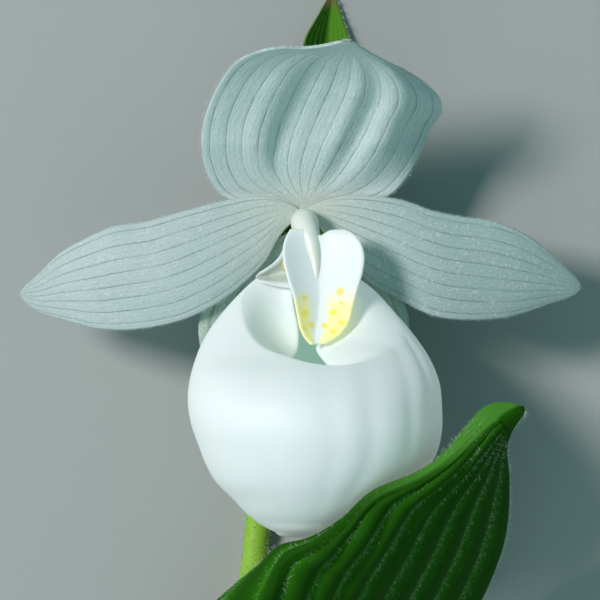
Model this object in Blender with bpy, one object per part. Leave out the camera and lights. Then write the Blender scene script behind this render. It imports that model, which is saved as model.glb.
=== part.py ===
"""A cut flowering stem of a white lady's slipper orchid, laid on a flat surface.

The stem lies along Y on the surface at z = 0, cut end at -Y. The ovary bends up at its end
and carries the flower, which faces straight up (+Z). A keeled bract lies behind the flower
and one pleated leaf sheathes the stem and rises over the lower right of the pouch.

Lengths are in millimetres. Points are given from the middle of the flower's base:
x to the right, y up the flower, z above the surface. FLOWER_Y moves them into the part's
frame, whose origin is on the surface, under the middle of the part's box.
"""
import bpy
import numpy as np

MM = 0.001
FLOWER_Y = 46.9
CUT_END_Y = -125.0

STEM_RADIUS = 1.85
STEM_NECK_RADIUS = 1.5
STEM_LEAN = 0.263
STEM_BEND = 0.19
STEM_X_UNDER_POUCH = -6.3
STEM_Y_UNDER_POUCH = -47.9
STEM_TOP_Y = -15.0
STEM_SINK = 0.25

OVARY_BEND_RADIUS = 10.8
OVARY_TOP_Z = 14.2
OVARY_RADIUS = 2.3
OVARY_RIBS = 6

BLADE = 0.66
LEAF_BLADE = 0.72
LEAF_RIBS = 11
LEAF_RIB_DEPTH = 0.3
HOOD_WIDTH = 33.0
HOOD_TURNED_BACK = 5.5
POUCH_WALL = 0.7
POUCH_RADIUS = 18.0

POUCH_TOE = (1.6, -46.3, 31.0)
POUCH_COLUMNS = 44
POUCH_BODY_ROWS = 17
POUCH_FOLD_ROWS = 9


def curve(points, t, knots=None):
    """Smooth curve through the points, read at t from 0 at the first to 1 at the last.

    Each stretch is a cubic whose end slopes follow the neighbouring points. The knots say
    where on t each point lies; without them they follow the distance between the points.
    """
    points = np.asarray(points, float)
    if points.ndim == 1:
        points = points[:, None]
    if knots is None:
        steps = np.linalg.norm(np.diff(points, axis=0), axis=1)
        knots = np.concatenate(([0.0], np.cumsum(steps))) / steps.sum()
    knots = np.asarray(knots, float)
    t = np.clip(np.asarray(t, float), knots[0], knots[-1])
    slopes = np.gradient(points, knots, axis=0)
    i = np.clip(np.searchsorted(knots, t, side="right") - 1, 0, len(knots) - 2)
    span = (knots[i + 1] - knots[i])[..., None]
    w = (t - knots[i])[..., None] / span
    start = (1 + 2 * w) * (1 - w) ** 2 * points[i] + w * (1 - w) ** 2 * span * slopes[i]
    end = w ** 2 * (3 - 2 * w) * points[i + 1] + w ** 2 * (w - 1) * span * slopes[i + 1]
    return start + end


def along(pairs, t):
    """One number that varies with t, smooth through (t, value) pairs."""
    pairs = np.asarray(pairs, float)
    return curve(pairs[:, 1], t, pairs[:, 0])[..., 0]


def bump(x, middle, width):
    """A smooth hump of height 1 at the middle, fading over the width."""
    return np.exp(-((x - middle) / width) ** 2)


def unit(vectors):
    return vectors / np.linalg.norm(vectors, axis=-1, keepdims=True)


def surface_normals(grid, ring=False):
    """Normals of a grid of points, from its two directions."""
    if ring:
        across = np.roll(grid, -1, axis=1) - np.roll(grid, 1, axis=1)
    else:
        across = np.gradient(grid, axis=1)
    return unit(np.cross(across, np.gradient(grid, axis=0)) + 1e-12)


def grid_triangles(rows, columns, ring=False):
    """Two triangles for each cell of a grid, all split the same way."""
    reach = columns if ring else columns - 1
    i, j = np.meshgrid(np.arange(rows - 1), np.arange(reach), indexing="ij")
    k = (j + 1) % columns
    a = (i * columns + j).ravel()
    b = (i * columns + k).ravel()
    c = ((i + 1) * columns + k).ravel()
    d = ((i + 1) * columns + j).ravel()
    return np.concatenate((np.stack((a, b, c), 1), np.stack((a, c, d), 1)))


def finish(color, roughness):
    """A plain finish for one piece."""
    made = bpy.data.materials.new("finish")
    made.use_nodes = True
    shader = made.node_tree.nodes["Principled BSDF"]
    shader.inputs["Base Color"].default_value = (*color, 1.0)
    shader.inputs["Roughness"].default_value = roughness
    shader.inputs["Metallic"].default_value = 0.0
    made.diffuse_color = (*color, 1.0)
    return made


def add_piece(name, points, faces, material):
    """An object from points in millimetres round the flower's base."""
    placed = (np.asarray(points, float).reshape(-1, 3) + (0.0, FLOWER_Y, 0.0)) * MM
    mesh = bpy.data.meshes.new(name)
    mesh.from_pydata(placed.tolist(), [], [list(map(int, face)) for face in faces])
    mesh.materials.append(material)
    mesh.shade_smooth()
    piece = bpy.data.objects.new(name, mesh)
    bpy.context.scene.collection.objects.link(piece)
    return piece


def thicken(piece, thickness):
    """Give a sheet its thickness, half to each side."""
    wall = piece.modifiers.new("wall", "SOLIDIFY")
    wall.thickness = thickness * MM
    wall.offset = 0.0
    wall.use_even_offset = False
    return piece


def add_blade(name, grid, material, thickness=BLADE):
    """A petal or leaf: a grid of points made into a sheet of even thickness."""
    rows, columns = grid.shape[:2]
    return thicken(add_piece(name, grid, grid_triangles(rows, columns), material), thickness)


def add_rod(name, rings, material):
    """A closed rod from rings of points, with a fan over each end."""
    rows, columns = rings.shape[:2]
    sides = grid_triangles(rows, columns, ring=True)
    ends = np.stack((rings[0].mean(axis=0), rings[-1].mean(axis=0)))
    points = np.concatenate((rings.reshape(-1, 3), ends))
    j = np.arange(columns)
    k = (j + 1) % columns
    last = (rows - 1) * columns
    foot = np.stack((np.full(columns, rows * columns), k, j), 1)
    head = np.stack((np.full(columns, rows * columns + 1), last + j, last + k), 1)
    return add_piece(name, points, np.concatenate((sides, foot, head)), material)


def rings_along(path, radii, sides):
    """Rings square to a path. The radii have a value for each ring, or for each point."""
    forward = unit(np.gradient(path, axis=0))
    up = unit(np.cross(forward, (1.0, 0.0, 0.0)))
    right = np.cross(up, forward)
    angle = np.arange(sides) * 2 * np.pi / sides
    radii = np.broadcast_to(radii.reshape(len(path), -1), (len(path), sides))[..., None]
    round_way = (np.cos(angle)[None, :, None] * right[:, None]
                 + np.sin(angle)[None, :, None] * up[:, None])
    return path[:, None] + radii * round_way


def between(left, right, rows, columns, knots=None):
    """Flat sheet between two edges, both read from the base to the tip.

    Rows crowd towards the tip, where the outline turns fastest. Returns x and y of each
    point, how far along it lies (u) and how far across (v), both from 0 to 1.
    """
    u = 1 - (1 - np.linspace(0.0, 1.0, rows)) ** 1.5 if knots is None else knots
    v = np.linspace(0.0, 1.0, columns)
    one = curve(left, u)[:, None]
    other = curve(right, u)[:, None]
    flat = one + (other - one) * v[None, :, None]
    u, v = np.meshgrid(u, v, indexing="ij")
    return flat, u, v


def with_height(flat, height):
    return np.concatenate((flat, height[..., None]), axis=-1)


def stem_x(y):
    """The stem leans evenly, but for a short upright stretch under the pouch's toe."""
    above = y - STEM_Y_UNDER_POUCH
    return STEM_X_UNDER_POUCH + (STEM_LEAN - STEM_BEND * bump(y, STEM_Y_UNDER_POUCH, 10.0)) * above


def make_stem(material):
    """Round stem with a slightly flattened underside, rising a little to its neck."""
    y = np.linspace(CUT_END_Y, STEM_TOP_Y, 20)
    rise = along([(CUT_END_Y, 0.0), (-40.0, 0.0), (-28.0, 0.5), (STEM_TOP_Y, 1.9)], y)
    middle = STEM_RADIUS - STEM_SINK + rise
    path = np.stack((stem_x(y), y, middle), 1)
    radius = along([(CUT_END_Y, STEM_RADIUS), (-45.0, STEM_RADIUS),
                    (STEM_TOP_Y, STEM_NECK_RADIUS)], y)
    rings = rings_along(path, radius, 14)
    rings[..., 2] = np.maximum(rings[..., 2], 0.0)
    add_rod("stem", rings, material)


def make_ovary(material):
    """Ribbed ovary that turns from along the stem to straight up under the flower."""
    turn = np.linspace(0.0, np.pi / 2, 13)
    low_z = OVARY_TOP_Z - OVARY_BEND_RADIUS
    drift = along([(0.0, 2.4), (np.pi / 4, 1.4), (np.pi / 2, 0.4)], turn)
    arc = np.stack((drift, -OVARY_BEND_RADIUS * (1 - np.sin(turn)),
                    OVARY_TOP_Z - OVARY_BEND_RADIUS * np.cos(turn)), 1)
    neck_y = STEM_TOP_Y + np.array([0.4, 1.6])
    neck = np.stack((stem_x(neck_y), neck_y, np.full(2, low_z)), 1)
    path = np.concatenate((neck, arc))
    place = np.linspace(0.0, 1.0, len(path))
    radius = along([(0.0, STEM_NECK_RADIUS), (0.25, 1.8), (0.6, OVARY_RADIUS), (0.9, 2.1),
                    (1.0, 1.7)], place)
    sides = 3 * OVARY_RIBS
    around = np.arange(sides) * 2 * np.pi / sides
    ribs = 1 + 0.07 * np.cos(OVARY_RIBS * around)[None] * np.sin(np.pi * place)[:, None]
    add_rod("ovary", rings_along(path, radius[:, None] * ribs, sides), material)


def make_bract(material):
    """Narrow bract: a channel that clasps the stem's neck and ends in a point on the floor."""
    left = [(-1.2, -17.8), (-2.8, -10.0), (-4.0, 0.0), (-3.3, 11.0), (0.0, 20.5),
            (0.7, 25.1), (2.4, 28.2), (4.0, 31.0)]
    right = [(4.6, -17.8), (7.2, -10.0), (9.2, 0.0), (9.6, 11.0), (8.1, 20.5), (6.9, 25.7),
             (6.1, 28.2), (5.2, 31.1)]
    flat, u, v = between(left, right, 14, 9, np.linspace(0.0, 1.0, 14))
    across = np.abs(2 * v - 1)
    rise = along([(0.0, 3.6), (0.15, 3.0), (0.5, 2.6), (0.8, 1.5), (0.95, 0.4), (1.0, 0.1)], u)
    keel = along([(0.0, 0.42), (0.4, 0.5), (0.9, 0.4), (1.0, 0.36)], u)
    round_base = np.clip(1 - 4 * u, 0.0, 1.0)
    add_blade("bract", with_height(flat, keel + rise * across ** (1.25 + 1.4 * round_base)),
              material)


def make_leaf(material):
    """Pleated leaf: a vault over the stem at its foot, rising to a tip over the flower.

    Each station runs from the right margin up a swollen face, and then rolls over and under
    along the crest, which is the outermost line seen from above. The pleats keep to lines
    of the same share of the width, of which the face holds less and less towards the tip,
    so one after another they pass over the crest.
    """
    place = [0.0, 0.1, 0.2, 0.3, 0.42, 0.54, 0.66, 0.77, 0.85, 0.91, 0.96, 1.0]
    crest = [(-23.8, -103.6, 4.7), (-23.2, -95.0, 7.0), (-22.8, -85.0, 12.0),
             (-21.4, -73.5, 18.5), (-14.6, -58.3, 27.5), (-8.6, -52.7, 34.5),
             (1.4, -46.7, 41.4), (10.4, -40.6, 44.8), (19.0, -35.9, 45.8),
             (23.7, -31.4, 45.9), (26.8, -27.5, 45.7), (31.2, -27.6, 45.3)]
    margin = [(-17.8, -104.4, 1.0), (-13.8, -98.0, 0.9), (-4.5, -90.5, 0.8),
              (6.5, -81.5, 0.6), (17.2, -71.0, 0.45), (25.0, -59.5, 5.5),
              (28.9, -50.5, 13.5), (30.0, -43.8, 22.0), (29.7, -37.8, 31.0),
              (28.9, -33.7, 38.5), (29.4, -31.2, 43.2), (31.5, -29.2, 45.3)]
    roll = [2.9, 4.2, 6.0, 7.0, 6.5, 4.5, 2.4, 1.9, 2.0, 2.9, 3.3, 0.8]
    most_turn = [1.75, 1.8, 1.9, 2.0, 2.0, 2.1, 2.6, 2.7, 2.3, 1.5, 1.0, 0.15]
    tail = [5.1, 7.6, 11.5, 14.0, 14.5, 11.0, 6.5, 5.0, 4.6, 4.4, 4.0, 0.6]
    swell = [2.6, 2.4, 2.2, 2.1, 2.0, 1.9, 1.8, 1.6, 1.4, 1.3, 1.2, 1.2]
    face_share = [0.72, 0.76, 0.80, 0.84, 0.86, 0.80, 0.70, 0.60, 0.52, 0.46, 0.42, 0.40]

    s = np.linspace(0.0, 1.0, 30)
    top = curve(crest, s, place)
    edge = curve(margin, s, place)
    numbers = curve(np.stack((roll, most_turn, tail, swell, face_share), 1), s, place)
    radius, most, under, power, held = numbers.T[..., None]
    onward = unit(np.gradient(top[:, :2], axis=0))
    outward = np.stack((-onward[:, 1], onward[:, 0]), 1)
    wave = along([(0.0, 0.0), (0.54, 0.0), (0.58, 0.3), (0.62, 1.1), (0.66, 0.1), (0.72, 0.0),
                  (0.775, 0.9), (0.82, 0.5), (0.86, 0.5), (0.92, 0.9), (0.96, 0.3),
                  (1.0, 0.0)], s)
    top[:, :2] -= outward * (radius - wave[:, None])

    share = np.linspace(0.0, 1.0, 2 * LEAF_RIBS + 1)[None]
    on_face = np.clip(share / held, 0.0, 1.0)
    past = np.clip((share - held) / (1 - held), 0.0, None) * under
    turn = np.minimum(past / radius, most)
    straight = past - turn * radius
    out = radius * np.sin(turn) + straight * np.cos(turn)
    down = radius * (1 - np.cos(turn)) + straight * np.sin(turn)
    flat = edge[:, None, :2] + (top - edge)[:, None, :2] * on_face[..., None]
    flat = flat + outward[:, None] * out[..., None]
    drop = (top - edge)[:, 2:] * (1 - on_face) ** power
    grid = with_height(flat, top[:, 2:] - drop - down)

    pleat = np.cos(2 * np.pi * LEAF_RIBS * share) * np.clip(1.3 - past / 3.0, 0.0, 1.0)
    depth = LEAF_RIB_DEPTH * along([(0.0, 0.2), (0.12, 0.4), (0.3, 1.0), (0.85, 1.0),
                                    (0.95, 0.1), (1.0, 0.0)], s)[:, None]
    grid = grid + surface_normals(grid) * (depth * pleat)[..., None]
    grid[..., 2] = np.maximum(grid[..., 2], 0.4)
    add_blade("leaf", grid, material, LEAF_BLADE)


def gentle_way(line, u):
    """From each point of a line to its gentle course, a smooth polynomial held at its ends."""
    smooth = np.stack([np.polyval(np.polyfit(u, line[:, k], 5), u) for k in range(2)], 1)
    return (smooth - line) * np.clip(8 * np.minimum(u, 1 - u), 0.0, 1.0)[:, None]


def make_dorsal_sepal(material):
    """Broad hood over the flower: fluted, leaning forward, its right side turned back."""
    left = [(-1.7, 1.0), (-5.0, 1.1), (-8.6, 1.0), (-11.3, 2.2), (-13.2, 5.0), (-14.0, 8.4),
            (-13.9, 11.7), (-13.0, 14.7), (-11.1, 18.3), (-8.7, 20.9), (-6.1, 22.0),
            (-2.9, 22.6), (0.7, 22.6), (3.3, 22.9), (5.7, 23.4)]
    right = [(2.5, 1.0), (5.8, 1.1), (9.5, 1.1), (12.9, 2.2), (15.3, 4.7), (17.3, 8.4),
             (18.6, 11.7), (20.1, 14.0), (20.0, 15.7), (18.6, 17.3), (15.7, 19.3),
             (12.9, 20.6), (10.4, 21.7), (8.4, 22.8), (7.2, 23.4)]
    flat, u, v = between(left, right, 19, 26, np.linspace(0.0, 1.0, 19) ** 0.9)
    flat = (flat + gentle_way(flat[:, 0], u[:, 0])[:, None] * (1 - v - (1 - v) ** 4)[..., None]
            + gentle_way(flat[:, -1], u[:, 0])[:, None] * (v - v ** 4)[..., None])
    flat[..., 1] += along([(0.0, 0.4), (0.1, 1.9), (0.2, 3.1), (0.27, 3.4), (0.38, 2.8),
                           (0.5, 1.4), (0.65, 0.3), (0.8, 0.0), (1.0, 0.0)],
                          u) * (1 - (2 * v - 1) ** 2)
    up = flat[..., 1]
    lean = along([(1.0, 14.9), (4.0, 15.2), (8.0, 17.2), (12.0, 20.0), (16.0, 23.8),
                  (20.0, 29.0), (22.6, 34.5), (23.5, 37.0)], up)
    free = np.clip((up - 2.5) / 7.0, 0.0, 1.0) * np.clip(4 * (1 - u), 0.0, 1.0)
    cup = 2.2 * np.abs(2 * v - 1) ** 2
    width = np.linalg.norm(flat[:, -1] - flat[:, 0], axis=1)[:, None] / HOOD_WIDTH
    turned = np.clip((v - 0.82) / 0.18, 0.0, 1.0) ** 1.5 * np.clip(1.5 * width, 0.0, 1.0)
    back = -HOOD_TURNED_BACK * turned
    fade = np.clip((0.95 - u) / 0.35, 0.0, 1.0)
    flutes = width * fade * along([(0.0, 0.0), (0.15, 0.5), (0.30, 1.0), (0.358, -0.3),
                                   (0.45, 0.1), (0.54, 0.5), (0.635, 1.1), (0.70, -0.1),
                                   (0.79, 0.8), (0.90, -0.3), (1.0, -1.0)], v)
    add_blade("dorsal_sepal", with_height(flat, lean + (cup + back + flutes) * free), material)


def make_petal(name, upper, lower, droop, material):
    """Spreading petal, gently swollen along its middle, with a lightly waved margin."""
    flat, u, v = between(upper, lower, 18, 8)
    base = along([(0.0, 16.3), (0.15, 16.7), (0.5, 18.2), (0.8, 17.2), (1.0, droop)], u)
    swell = 1.1 * (1 - (2 * v - 1) ** 2) * np.sin(np.pi * np.clip(u, 0.0, 1.0)) ** 0.7
    wave = 0.35 * np.sin(9.0 * u + 2.0 * v) * (2 * v - 1) ** 2 * np.sin(np.pi * u)
    add_blade(name, with_height(flat, base + swell + wave), material)


def make_petals(material):
    upper = [(-1.5, 1.0), (-5.0, 1.9), (-10.9, 1.3), (-16.4, -0.1), (-22.4, -1.7),
             (-26.9, -2.4), (-30.3, -3.9), (-34.1, -6.0), (-37.6, -9.3), (-39.3, -10.8),
             (-39.9, -11.6)]
    lower = [(-1.5, -1.6), (-3.0, -3.7), (-5.0, -7.3), (-7.9, -10.3), (-10.9, -12.7),
             (-14.4, -14.7), (-21.0, -16.7), (-28.3, -17.0), (-34.1, -15.6), (-37.6, -14.4),
             (-39.3, -13.2), (-39.9, -12.4)]
    make_petal("petal_left", upper, lower, 14.5, material)
    upper = [(2.4, 1.0), (5.9, 1.9), (9.7, 2.0), (14.7, 1.4), (19.0, -0.1), (22.9, -0.9),
             (27.7, -1.6), (32.1, -3.4), (37.4, -7.7), (39.5, -9.8), (40.1, -10.6)]
    lower = [(2.4, -1.5), (4.0, -4.2), (6.4, -6.9), (11.1, -11.1), (13.4, -12.3),
             (19.0, -15.1), (24.3, -15.7), (29.1, -15.4), (35.9, -13.3), (39.3, -12.0),
             (40.1, -11.3)]
    make_petal("petal_right", upper, lower, 15.5, material)


def make_synsepal(material):
    """The two side sepals, grown into one shallow cup behind the pouch."""
    left = [(-0.9, -2.6), (-6.0, -6.0), (-11.8, -10.5), (-14.4, -15.5), (-13.6, -22.0),
            (-9.6, -28.0), (-4.5, -31.6), (0.0, -32.8)]
    right = [(1.7, -2.6), (7.0, -6.0), (12.8, -10.0), (15.4, -14.6), (14.8, -21.5),
             (11.4, -28.0), (6.6, -31.6), (2.6, -32.8)]
    flat, u, v = between(left, right, 13, 11)
    across = np.abs(2 * v - 1)
    base = along([(0.0, 15.0), (0.3, 14.7), (0.7, 13.6), (1.0, 13.0)], u)
    add_blade("synsepal", with_height(flat, base + 1.6 * across ** 2 * np.sin(np.pi * u)),
              material)


def make_column(material):
    """Short thick column that bends from the flower's base to under its shield."""
    t = np.linspace(0.0, 1.0, 10)
    path = curve([(0.4, -0.7, 14.8), (0.4, -1.1, 17.0), (0.6, -2.1, 19.2), (1.0, -3.5, 20.6),
                  (1.5, -5.4, 21.1)], t)
    radius = along([(0.0, 1.4), (0.25, 1.5), (0.55, 1.9), (0.8, 1.9), (1.0, 1.2)], t)
    add_rod("column", rings_along(path, radius, 14), material)


def make_staminode(material):
    """Heart-shaped shield over the column: a trough whose sides turn up, blunt at the tip."""
    left = [(-1.4, -2.8), (-2.0, -3.9), (-2.4, -5.6), (-2.2, -8.0), (-1.6, -10.2),
            (-0.9, -12.4), (-0.4, -14.9), (0.1, -17.0), (0.8, -18.3), (1.6, -19.1)]
    right = [(6.2, -2.9), (7.6, -3.5), (8.6, -4.7), (9.1, -6.6), (8.9, -8.7), (8.3, -10.9),
             (7.5, -13.7), (7.0, -15.7), (5.8, -17.5), (3.6, -18.9)]
    flat, u, v = between(left, right, 15, 11)
    groove = along([(0.0, 0.34), (0.3, 0.41), (0.7, 0.40), (0.9, 0.34), (1.0, 0.30)], u)
    base = along([(0.0, 23.4), (0.15, 23.5), (0.5, 25.3), (0.8, 27.6), (1.0, 29.5)], u)
    depth = along([(0.0, 0.3), (0.15, 2.4), (0.5, 3.2), (0.8, 2.4), (1.0, 0.6)], u)
    left_side = np.clip((groove - v) / groove, 0.0, 1.0) ** 1.2
    right_side = np.clip((v - groove) / (1 - groove), 0.0, 1.0) ** 1.5
    add_blade("staminode", with_height(flat, base + depth * (left_side + 0.8 * right_side)),
              material)


def make_button(name, middle, radii, material, sides=10, rows=6):
    """Small rounded body."""
    tilt = np.linspace(0.12, 0.88, rows) * np.pi
    around = np.arange(sides) * 2 * np.pi / sides
    rings = np.stack((np.sin(tilt)[:, None] * np.cos(around), np.sin(tilt)[:, None]
                      * np.sin(around), -np.cos(tilt)[:, None] * np.ones(sides)), -1)
    add_rod(name, np.asarray(middle) + rings * np.asarray(radii), material)


def make_stigma_and_anthers(pale, pollen):
    make_button("stigma", (1.6, -8.1, 22.1), (1.9, 2.1, 0.9), pale, 12)
    make_button("anther_left", (-1.8, -7.5, 22.0), (0.9, 1.5, 0.8), pollen)
    make_button("anther_right", (4.9, -6.9, 22.2), (0.9, 1.5, 0.8), pollen)


def pouch_section(y, angle):
    """Point of the pouch's outer wall at height y, at an angle from +x towards the front."""
    left = along([(-46.3, 1.4), (-46.0, -1.9), (-45.3, -3.7), (-44.5, -5.3), (-43.1, -7.2),
                  (-40.6, -9.6), (-38.4, -11.8), (-35.6, -13.4), (-33.2, -14.3),
                  (-30.7, -15.2), (-27.4, -15.8),
                  (-21.9, -15.0), (-17.9, -13.3), (-14.0, -10.4), (-10.9, -7.4),
                  (-9.0, -5.2), (-4.0, -1.6)], y)
    right = along([(-46.3, 1.8), (-45.8, 5.0), (-44.7, 7.2), (-42.8, 10.3), (-40.2, 13.5),
                   (-37.5, 16.9), (-35.0, 18.9), (-31.7, 19.9), (-28.1, 20.0), (-24.3, 19.6),
                   (-21.1, 18.3), (-17.7, 16.0), (-14.3, 13.1), (-10.4, 9.4), (-8.5, 7.0),
                   (-4.0, 2.6)], y)
    back = along([(-46.3, 30.8), (-45.5, 26.5), (-42.8, 22.5), (-38.0, 19.4), (-30.0, 17.6),
                  (-20.0, 17.2), (-10.0, 17.4), (-4.0, 17.0)], y)
    front = along([(-46.3, 31.2), (-45.7, 34.4), (-43.7, 38.6), (-40.0, 43.6), (-35.0, 47.4),
                   (-30.0, 48.6), (-26.0, 46.8), (-23.0, 43.0), (-21.0, 39.0), (-17.5, 33.5),
                   (-13.0, 28.0), (-9.0, 23.6), (-4.0, 19.5)], y)
    half_width = (right - left - POUCH_WALL) / 2
    half_depth = (front - back) / 2
    crease = (0.30 * bump(angle, 1.12, 0.10) + 0.25 * bump(angle, 0.72, 0.08)
              + 0.35 * bump(angle, 0.42, 0.07) + 0.2 * bump(angle, 1.45, 0.10)
              + 0.15 * bump(angle, 2.0, 0.12))
    swell = 1 - crease / POUCH_RADIUS * np.clip((y + 46.0) / 8.0, 0.0, 1.0)
    x = (left + right) / 2 + half_width * np.cos(angle) * swell
    z = (back + front) / 2 + half_depth * np.sin(angle) * swell
    return np.stack((x, y, z), -1)


def make_pouch(material):
    """Inflated slipper: a thin wall from the toe up to its mouth, folded in all round it.

    Columns run round the mouth by angle: 0 at the right, a quarter turn at the front. The
    fold is lowest at the front rim and highest on the two shoulders. Past the fold the wall
    turns in: as a hollow lobe on the left, a swollen flap on the right, a short lip in front.
    """
    angle = np.linspace(0.0, 2 * np.pi, POUCH_COLUMNS, endpoint=False)
    turns = angle / (2 * np.pi)
    fold_y = [(0.0, -13.0), (0.05, -17.0), (0.09, -19.4), (0.14, -20.6), (0.18, -21.9),
              (0.22, -22.3), (0.25, -22.0), (0.29, -20.9), (0.33, -19.4), (0.355, -17.6),
              (0.38, -15.7), (0.44, -12.7), (0.5, -10.4), (0.56, -8.8), (0.65, -7.2),
              (0.75, -6.0), (0.85, -7.2), (0.94, -9.6), (1.0, -13.0)]
    free_edge = [(0.0, 6.6, -14.2, 23.8), (0.06, 5.3, -17.3, 25.6), (0.12, 2.3, -19.8, 27.0),
                 (0.17, 4.6, -23.2, 34.2), (0.23, 2.2, -24.0, 35.6), (0.29, -2.6, -23.4, 35.0),
                 (0.34, -3.2, -22.4, 29.0), (0.40, -0.6, -20.6, 26.2), (0.46, -0.2, -17.4, 25.0),
                 (0.53, -0.9, -13.6, 23.0), (0.60, -1.2, -10.4, 21.2), (0.68, -0.4, -8.6, 20.0),
                 (0.75, 1.2, -7.8, 19.5), (0.83, 3.2, -8.6, 20.2), (0.90, 4.6, -9.9, 21.4),
                 (0.95, 5.7, -11.6, 22.8), (1.0, 6.6, -14.2, 23.8)]
    free_edge = np.asarray(free_edge)
    rim_y = along(fold_y, turns)
    edge = curve(free_edge[:, 1:], turns, free_edge[:, 0])

    climb = 1 - np.cos(np.linspace(0.0, 1.0, POUCH_BODY_ROWS + 1)[1:] * np.pi / 2) ** 1.15
    y = POUCH_TOE[1] + (rim_y[None] - POUCH_TOE[1]) * climb[:, None]
    body = pouch_section(y, np.broadcast_to(angle, y.shape))

    rim = body[-1]
    upward = unit(body[-1] - body[-2])
    inward = edge - rim
    inward[:, 2] = 0.0
    inward = unit(inward)
    side = along([(0.0, 2.0), (0.12, 1.6), (0.25, 1.2), (0.36, 2.4), (0.45, 4.0), (0.55, 3.4),
                  (0.65, 1.4), (0.85, 1.2), (0.93, 1.2), (1.0, 2.0)], turns)[:, None]
    raised = along([(0.0, 1.4), (0.12, 0.6), (0.25, 0.0), (0.5, 0.0), (0.56, 1.0),
                    (0.65, 1.8), (0.75, 1.7), (0.93, 1.8), (1.0, 1.4)], turns)
    lift = along([(0.0, 3.0), (0.08, 4.0), (0.15, 1.5), (0.25, 0.5), (0.32, -0.5), (0.4, -1.2),
                  (0.5, -1.0), (0.57, 0.0), (0.65, 1.4), (0.75, 1.8), (0.85, 1.8),
                  (0.93, 2.6), (1.0, 3.0)], turns)
    first = rim + upward * 0.9 * side + inward * 0.5 * side
    first[:, 2] += raised
    reach = 0.45 + 0.2 * (bump(turns, 0.05, 0.06) + bump(turns, 1.05, 0.06))
    second = rim + (edge - rim) * reach[:, None] + np.stack((0 * lift, 0 * lift, lift), 1)
    w = (np.linspace(0.0, 1.0, POUCH_FOLD_ROWS + 1)[1:] ** 1.25)[:, None, None]
    inner = ((1 - w) ** 3 * rim + 3 * w * (1 - w) ** 2 * first + 3 * w ** 2 * (1 - w) * second
             + w ** 3 * edge)

    grid = np.concatenate((body, inner))
    rows = len(grid)
    sides = grid_triangles(rows, POUCH_COLUMNS, ring=True) + 1
    j = np.arange(POUCH_COLUMNS)
    toe = np.stack((np.zeros_like(j), (j + 1) % POUCH_COLUMNS + 1, j + 1), 1)
    points = np.concatenate((np.asarray([POUCH_TOE]), grid.reshape(-1, 3)))
    thicken(add_piece("pouch", points, np.concatenate((toe, sides)), material), POUCH_WALL)


def build():
    for old in list(bpy.data.objects):
        bpy.data.objects.remove(old)
    white = finish((0.86, 0.88, 0.86), 0.45)
    petal_white = finish((0.62, 0.72, 0.71), 0.55)
    back_white = finish((0.50, 0.60, 0.52), 0.6)
    cream = finish((0.88, 0.87, 0.72), 0.4)
    pollen = finish((0.72, 0.62, 0.34), 0.6)
    leaf_green = finish((0.035, 0.11, 0.012), 0.5)
    stem_green = finish((0.24, 0.42, 0.06), 0.5)

    make_stem(stem_green)
    make_ovary(stem_green)
    make_bract(leaf_green)
    make_leaf(leaf_green)
    make_dorsal_sepal(petal_white)
    make_petals(petal_white)
    make_synsepal(back_white)
    make_pouch(white)
    make_column(cream)
    make_staminode(white)
    make_stigma_and_anthers(cream, pollen)


build()
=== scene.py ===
"""A cut stem of a white lady's slipper orchid, laid down and seen from straight above.

Lengths are in millimetres from the middle of the flower's base: x to the right, y up the
flower, z above the surface that the stem lies on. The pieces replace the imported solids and
keep their form; hairs are added to those that have them on the real plant.
"""

import bpy
import numpy as np
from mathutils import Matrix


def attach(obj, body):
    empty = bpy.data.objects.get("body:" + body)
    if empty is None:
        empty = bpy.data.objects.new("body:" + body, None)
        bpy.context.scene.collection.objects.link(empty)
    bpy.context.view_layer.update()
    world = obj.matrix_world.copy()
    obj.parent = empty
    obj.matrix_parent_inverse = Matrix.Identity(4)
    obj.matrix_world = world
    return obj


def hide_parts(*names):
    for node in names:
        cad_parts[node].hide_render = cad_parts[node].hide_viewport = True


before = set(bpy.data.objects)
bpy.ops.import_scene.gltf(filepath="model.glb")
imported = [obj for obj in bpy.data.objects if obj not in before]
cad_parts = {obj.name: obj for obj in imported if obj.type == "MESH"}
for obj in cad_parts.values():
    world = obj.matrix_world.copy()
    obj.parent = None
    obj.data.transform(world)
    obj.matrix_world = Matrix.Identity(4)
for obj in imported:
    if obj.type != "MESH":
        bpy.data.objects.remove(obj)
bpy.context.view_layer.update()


# The stem: a soft green stalk, cut across at its foot. It lies on its side, and a narrow strip
# of its underside is pressed flat. Short colourless hairs stand out all round it.
MM = 0.001
FLOWER_Y = 46.9

STEM_CUT_Y = -125.0
STEM_TOP_Y = -15.0
STEM_X_UNDER_POUCH = -6.3
STEM_Y_UNDER_POUCH = -47.9
STEM_LEAN = 0.263
STEM_BEND = 0.19
STEM_RADIUS = 1.85
STEM_NECK_RADIUS = 1.5
STEM_SINK = 0.25
STEM_ROWS = 160
STEM_SIDES = 48
STEM_GREEN = (0.34, 0.62, 0.06, 1.0)
STEM_SHADE = (0.20, 0.46, 0.03, 1.0)
STEM_HAIRS = 2600
HAIR_CLEAR = (0.86, 0.92, 0.80, 1.0)
HAIR_ROOT = 0.05
HAIR_DROOP = 0.25


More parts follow.
